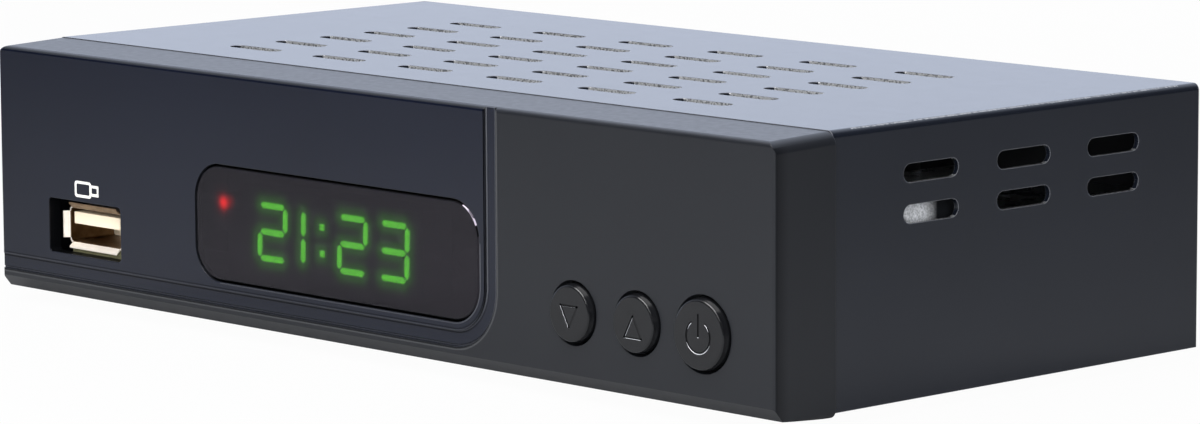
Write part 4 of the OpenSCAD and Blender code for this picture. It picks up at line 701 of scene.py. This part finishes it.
def distance_to_shapes(points, triangles):
    """Distance of each point of a plane to the nearest of the triangles in it, 0 inside them"""
    best = np.full(len(points), np.inf)
    for corners in triangles:
        sides = []
        near = np.full(len(points), np.inf)
        for k in range(3):
            a, b = corners[k], corners[(k + 1) % 3]
            edge = b - a
            along = np.clip(((points - a) @ edge) / max(edge @ edge, 1e-18), 0, 1)
            near = np.minimum(near, np.linalg.norm(points - a - along[:, None] * edge, axis=1))
            sides.append(edge[0] * (points[:, 1] - a[1]) - edge[1] * (points[:, 0] - a[0]))
        sides = np.array(sides)
        inside = (sides >= 0).all(axis=0) | (sides <= 0).all(axis=0)
        best = np.minimum(best, np.where(inside, 0.0, near))
    return best


def front_bars(mesh, front_y):
    """Triangles of each lit bar's front face, one list for each bar"""
    mesh.calc_loop_triangles()
    bars = []
    for tri in mesh.loop_triangles:
        corners = [mesh.vertices[i].co for i in tri.vertices]
        if any(abs(c.y - front_y) > 1e-6 for c in corners):
            continue
        keys = {(round(c.x, 6), round(c.z, 6)) for c in corners}
        joined = [bar for bar in bars if bar[0] & keys]
        bars = [bar for bar in bars if not bar[0] & keys]
        flat = [np.array([(c.x, c.z) for c in corners])]
        bars.append((keys.union(*(bar[0] for bar in joined)), flat + [t for bar in joined for t in bar[1]]))
    return [triangles for keys, triangles in bars]


def display_film(materials):
    """Thin film between the lens and the display, with a painted glow round the bars and the lamp"""
    bars_low, bars_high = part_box("display_segments")
    lamp_low, lamp_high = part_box("status_led")
    lamp = (lamp_low + lamp_high) / 2
    y = (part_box("display_window")[1].y + bars_low.y) / 2
    margin, step = 2.6 * MM, 0.14 * MM
    x0, x1 = lamp_low.x - margin, bars_high.x + margin
    z0, z1 = bars_low.z - margin, bars_high.z + margin
    nx, nz = int((x1 - x0) / step) + 1, int((z1 - z0) / step) + 1
    grid_x, grid_z = np.meshgrid(np.linspace(x0, x1, nx), np.linspace(z0, z1, nz))
    points = np.stack([grid_x.ravel(), grid_z.ravel()], axis=1)
    mesh = frame["nodes"]["display_segments"].data
    gaps = np.array([distance_to_shapes(points, bar) for bar in front_bars(mesh, bars_low.y)])
    gap, second = np.sort(gaps, axis=0)[:2]
    between = np.clip((second - BAR_GAP) / BAR_GAP, 0, 1)
    near, far = np.exp(-(gap / GREEN_NEAR[1]) ** 2), np.exp(-gap / GREEN_FAR[1])
    green = between * (GREEN_NEAR[0] * near + GREEN_FAR[0] * far)
    reach = np.hypot(points[:, 0] - lamp.x - LAMP_SHIFT, points[:, 1] - lamp.z)
    red = sum(strength * np.exp(-(reach / size) ** 2) for strength, size in (RED_NEAR, RED_FAR))
    border = np.minimum.reduce([points[:, 0] - x0, x1 - points[:, 0], points[:, 1] - z0, z1 - points[:, 1]])
    fade = np.clip(border / (1.0 * MM), 0, 1)
    vertices = [(a, y, b) for a, b in points]
    faces = [(j * nx + i, j * nx + i + 1, (j + 1) * nx + i + 1, (j + 1) * nx + i)
             for j in range(nz - 1) for i in range(nx - 1)]
    film = add_piece("display_film", vertices, faces, materials["glow_film"], "housing")
    for name, values in (("green_glow", green * fade), ("red_glow", red * fade)):
        film.data.attributes.new(name, "FLOAT", "POINT").data.foreach_set("value", values.astype(np.float32))


def add_floor():
    """Pale floor that the camera sees as white, with the box's soft shadow kept"""
    s = Shader("floor")
    diffuse = s.node("ShaderNodeBsdfDiffuse")
    fibre = s.noise(40 * MM, 3.0)
    paper = s.ramp(fibre, [(0.3, shade(FLOOR_COLOUR, 0.985)), (0.7, shade(FLOOR_COLOUR, 1.015))])
    s.links.new(paper, diffuse.inputs["Color"])
    white = s.node("ShaderNodeEmission", {"Color": (1, 1, 1, 1), "Strength": 1.0})
    shown = s.node("ShaderNodeLightPath").outputs["Is Camera Ray"]
    share = s.math("MULTIPLY", shown, FLOOR_SHOWN_WHITE)
    inputs = {0: share, 1: diffuse.outputs["BSDF"], 2: white.outputs["Emission"]}
    mixed = s.node("ShaderNodeMixShader", inputs)
    s.links.new(mixed.outputs["Shader"], s.output.inputs["Surface"])
    s.nodes.remove(s.bsdf)
    mesh = bpy.data.meshes.new("floor")
    corners = [(a * FLOOR_HALF, b * FLOOR_HALF, 0) for a, b in ((-1, -1), (1, -1), (1, 1), (-1, 1))]
    mesh.from_pydata(corners, [], [(0, 1, 2, 3)])
    mesh.materials.append(s.material)
    floor = bpy.data.objects.new("floor", mesh)
    bpy.context.scene.collection.objects.link(floor)


def add_world():
    """White for the camera, an even light on surfaces, and in mirrors a dark room with a bright wall"""
    world = bpy.data.worlds.new("studio")
    world.use_nodes = True
    nodes, links = world.node_tree.nodes, world.node_tree.links
    path = nodes.new("ShaderNodeLightPath").outputs
    towards = nodes.new("ShaderNodeVectorMath")
    towards.operation = "DOT_PRODUCT"
    towards.inputs[1].default_value = WALL_SIDE
    links.new(nodes.new("ShaderNodeTexCoord").outputs["Generated"], towards.inputs[0])
    wall = nodes.new("ShaderNodeMapRange")
    wall.interpolation_type = "SMOOTHSTEP"
    wall.inputs["From Min"].default_value, wall.inputs["From Max"].default_value = WALL_EDGE
    links.new(towards.outputs["Value"], wall.inputs["Value"])

    def background(colour):
        node = nodes.new("ShaderNodeBackground")
        node.inputs["Color"].default_value = (*colour, 1.0)
        return node.outputs["Background"]

    def mix(factor, a, b):
        node = nodes.new("ShaderNodeMixShader")
        for socket, value in zip(node.inputs, (factor, a, b)):
            links.new(value, socket)
        return node.outputs["Shader"]

    mirrored = mix(wall.outputs["Result"], background(DARK_ROOM), background(BRIGHT_WALL))
    unseen = mix(path["Is Glossy Ray"], background(AMBIENT), mirrored)
    shown = mix(path["Is Camera Ray"], unseen, background((1, 1, 1)))
    links.new(shown, nodes["World Output"].inputs["Surface"])
    bpy.context.scene.world = world


def add_light(name, light, placed):
    """Lamp object for a light, with its place and turn"""
    lamp = bpy.data.objects.new(name, light)
    lamp.matrix_world = placed
    bpy.context.scene.collection.objects.link(lamp)
    return lamp


def aimed(place, aim):
    """Place and turn of a thing that looks from one place at another"""
    turn = (Vector(aim) - Vector(place)).to_track_quat("-Z", "Y").to_matrix().to_4x4()
    return Matrix.Translation(place) @ turn


def soft_lamps():
    """Soft square lamps"""
    for name, (place, aim, size, power, mirrored) in SOFT_LAMPS.items():
        light = bpy.data.lights.new(name, "AREA")
        light.size = size
        light.energy = power
        add_light(name, light, aimed(place, aim)).visible_glossy = mirrored


def socket_spot():
    """Narrow lamp for the USB socket"""
    light = bpy.data.lights.new("socket_spot", "SPOT")
    light.spot_size = SPOT_ANGLE
    light.spot_blend = SPOT_BLEND
    light.shadow_soft_size = SPOT_RADIUS
    light.energy = SPOT_POWER
    add_light("socket_spot", light, aimed(SPOT_AT, SPOT_AIM))


def rim_strip():
    """Long narrow lamp for the rims of the buttons and the lens"""
    start, end = Vector(STRIP_FROM), Vector(STRIP_TO)
    middle = (start + end) / 2
    light = bpy.data.lights.new("rim_strip", "AREA")
    light.shape = "RECTANGLE"
    light.size = (end - start).length
    light.size_y = STRIP_WIDTH
    light.energy = STRIP_POWER
    along = (end - start).normalized()
    back = middle - Vector(STRIP_AIM)
    back = (back - along * back.dot(along)).normalized()
    turn = Matrix((along, back.cross(along), back)).transposed().to_4x4()
    add_light("rim_strip", light, Matrix.Translation(middle) @ turn)


def add_camera():
    """Camera at the photograph's place"""
    data = bpy.data.cameras.new("camera")
    data.lens = CAMERA_LENS
    data.sensor_width = CAMERA_SENSOR
    data.sensor_fit = "HORIZONTAL"
    data.clip_start = 0.05
    camera = bpy.data.objects.new("camera", data)
    camera.matrix_world = aimed(CAMERA_AT, CAMERA_AIM) @ Matrix.Rotation(CAMERA_ROLL, 4, "Z")
    bpy.context.scene.collection.objects.link(camera)
    bpy.context.scene.camera = camera


materials = make_materials()
dress_nodes(materials)
button_signs(materials)
usb_mark(materials)
display_film(materials)
add_floor()
add_world()
soft_lamps()
socket_spot()
rim_strip()
add_camera()
bpy.context.scene.view_settings.view_transform = "Standard"
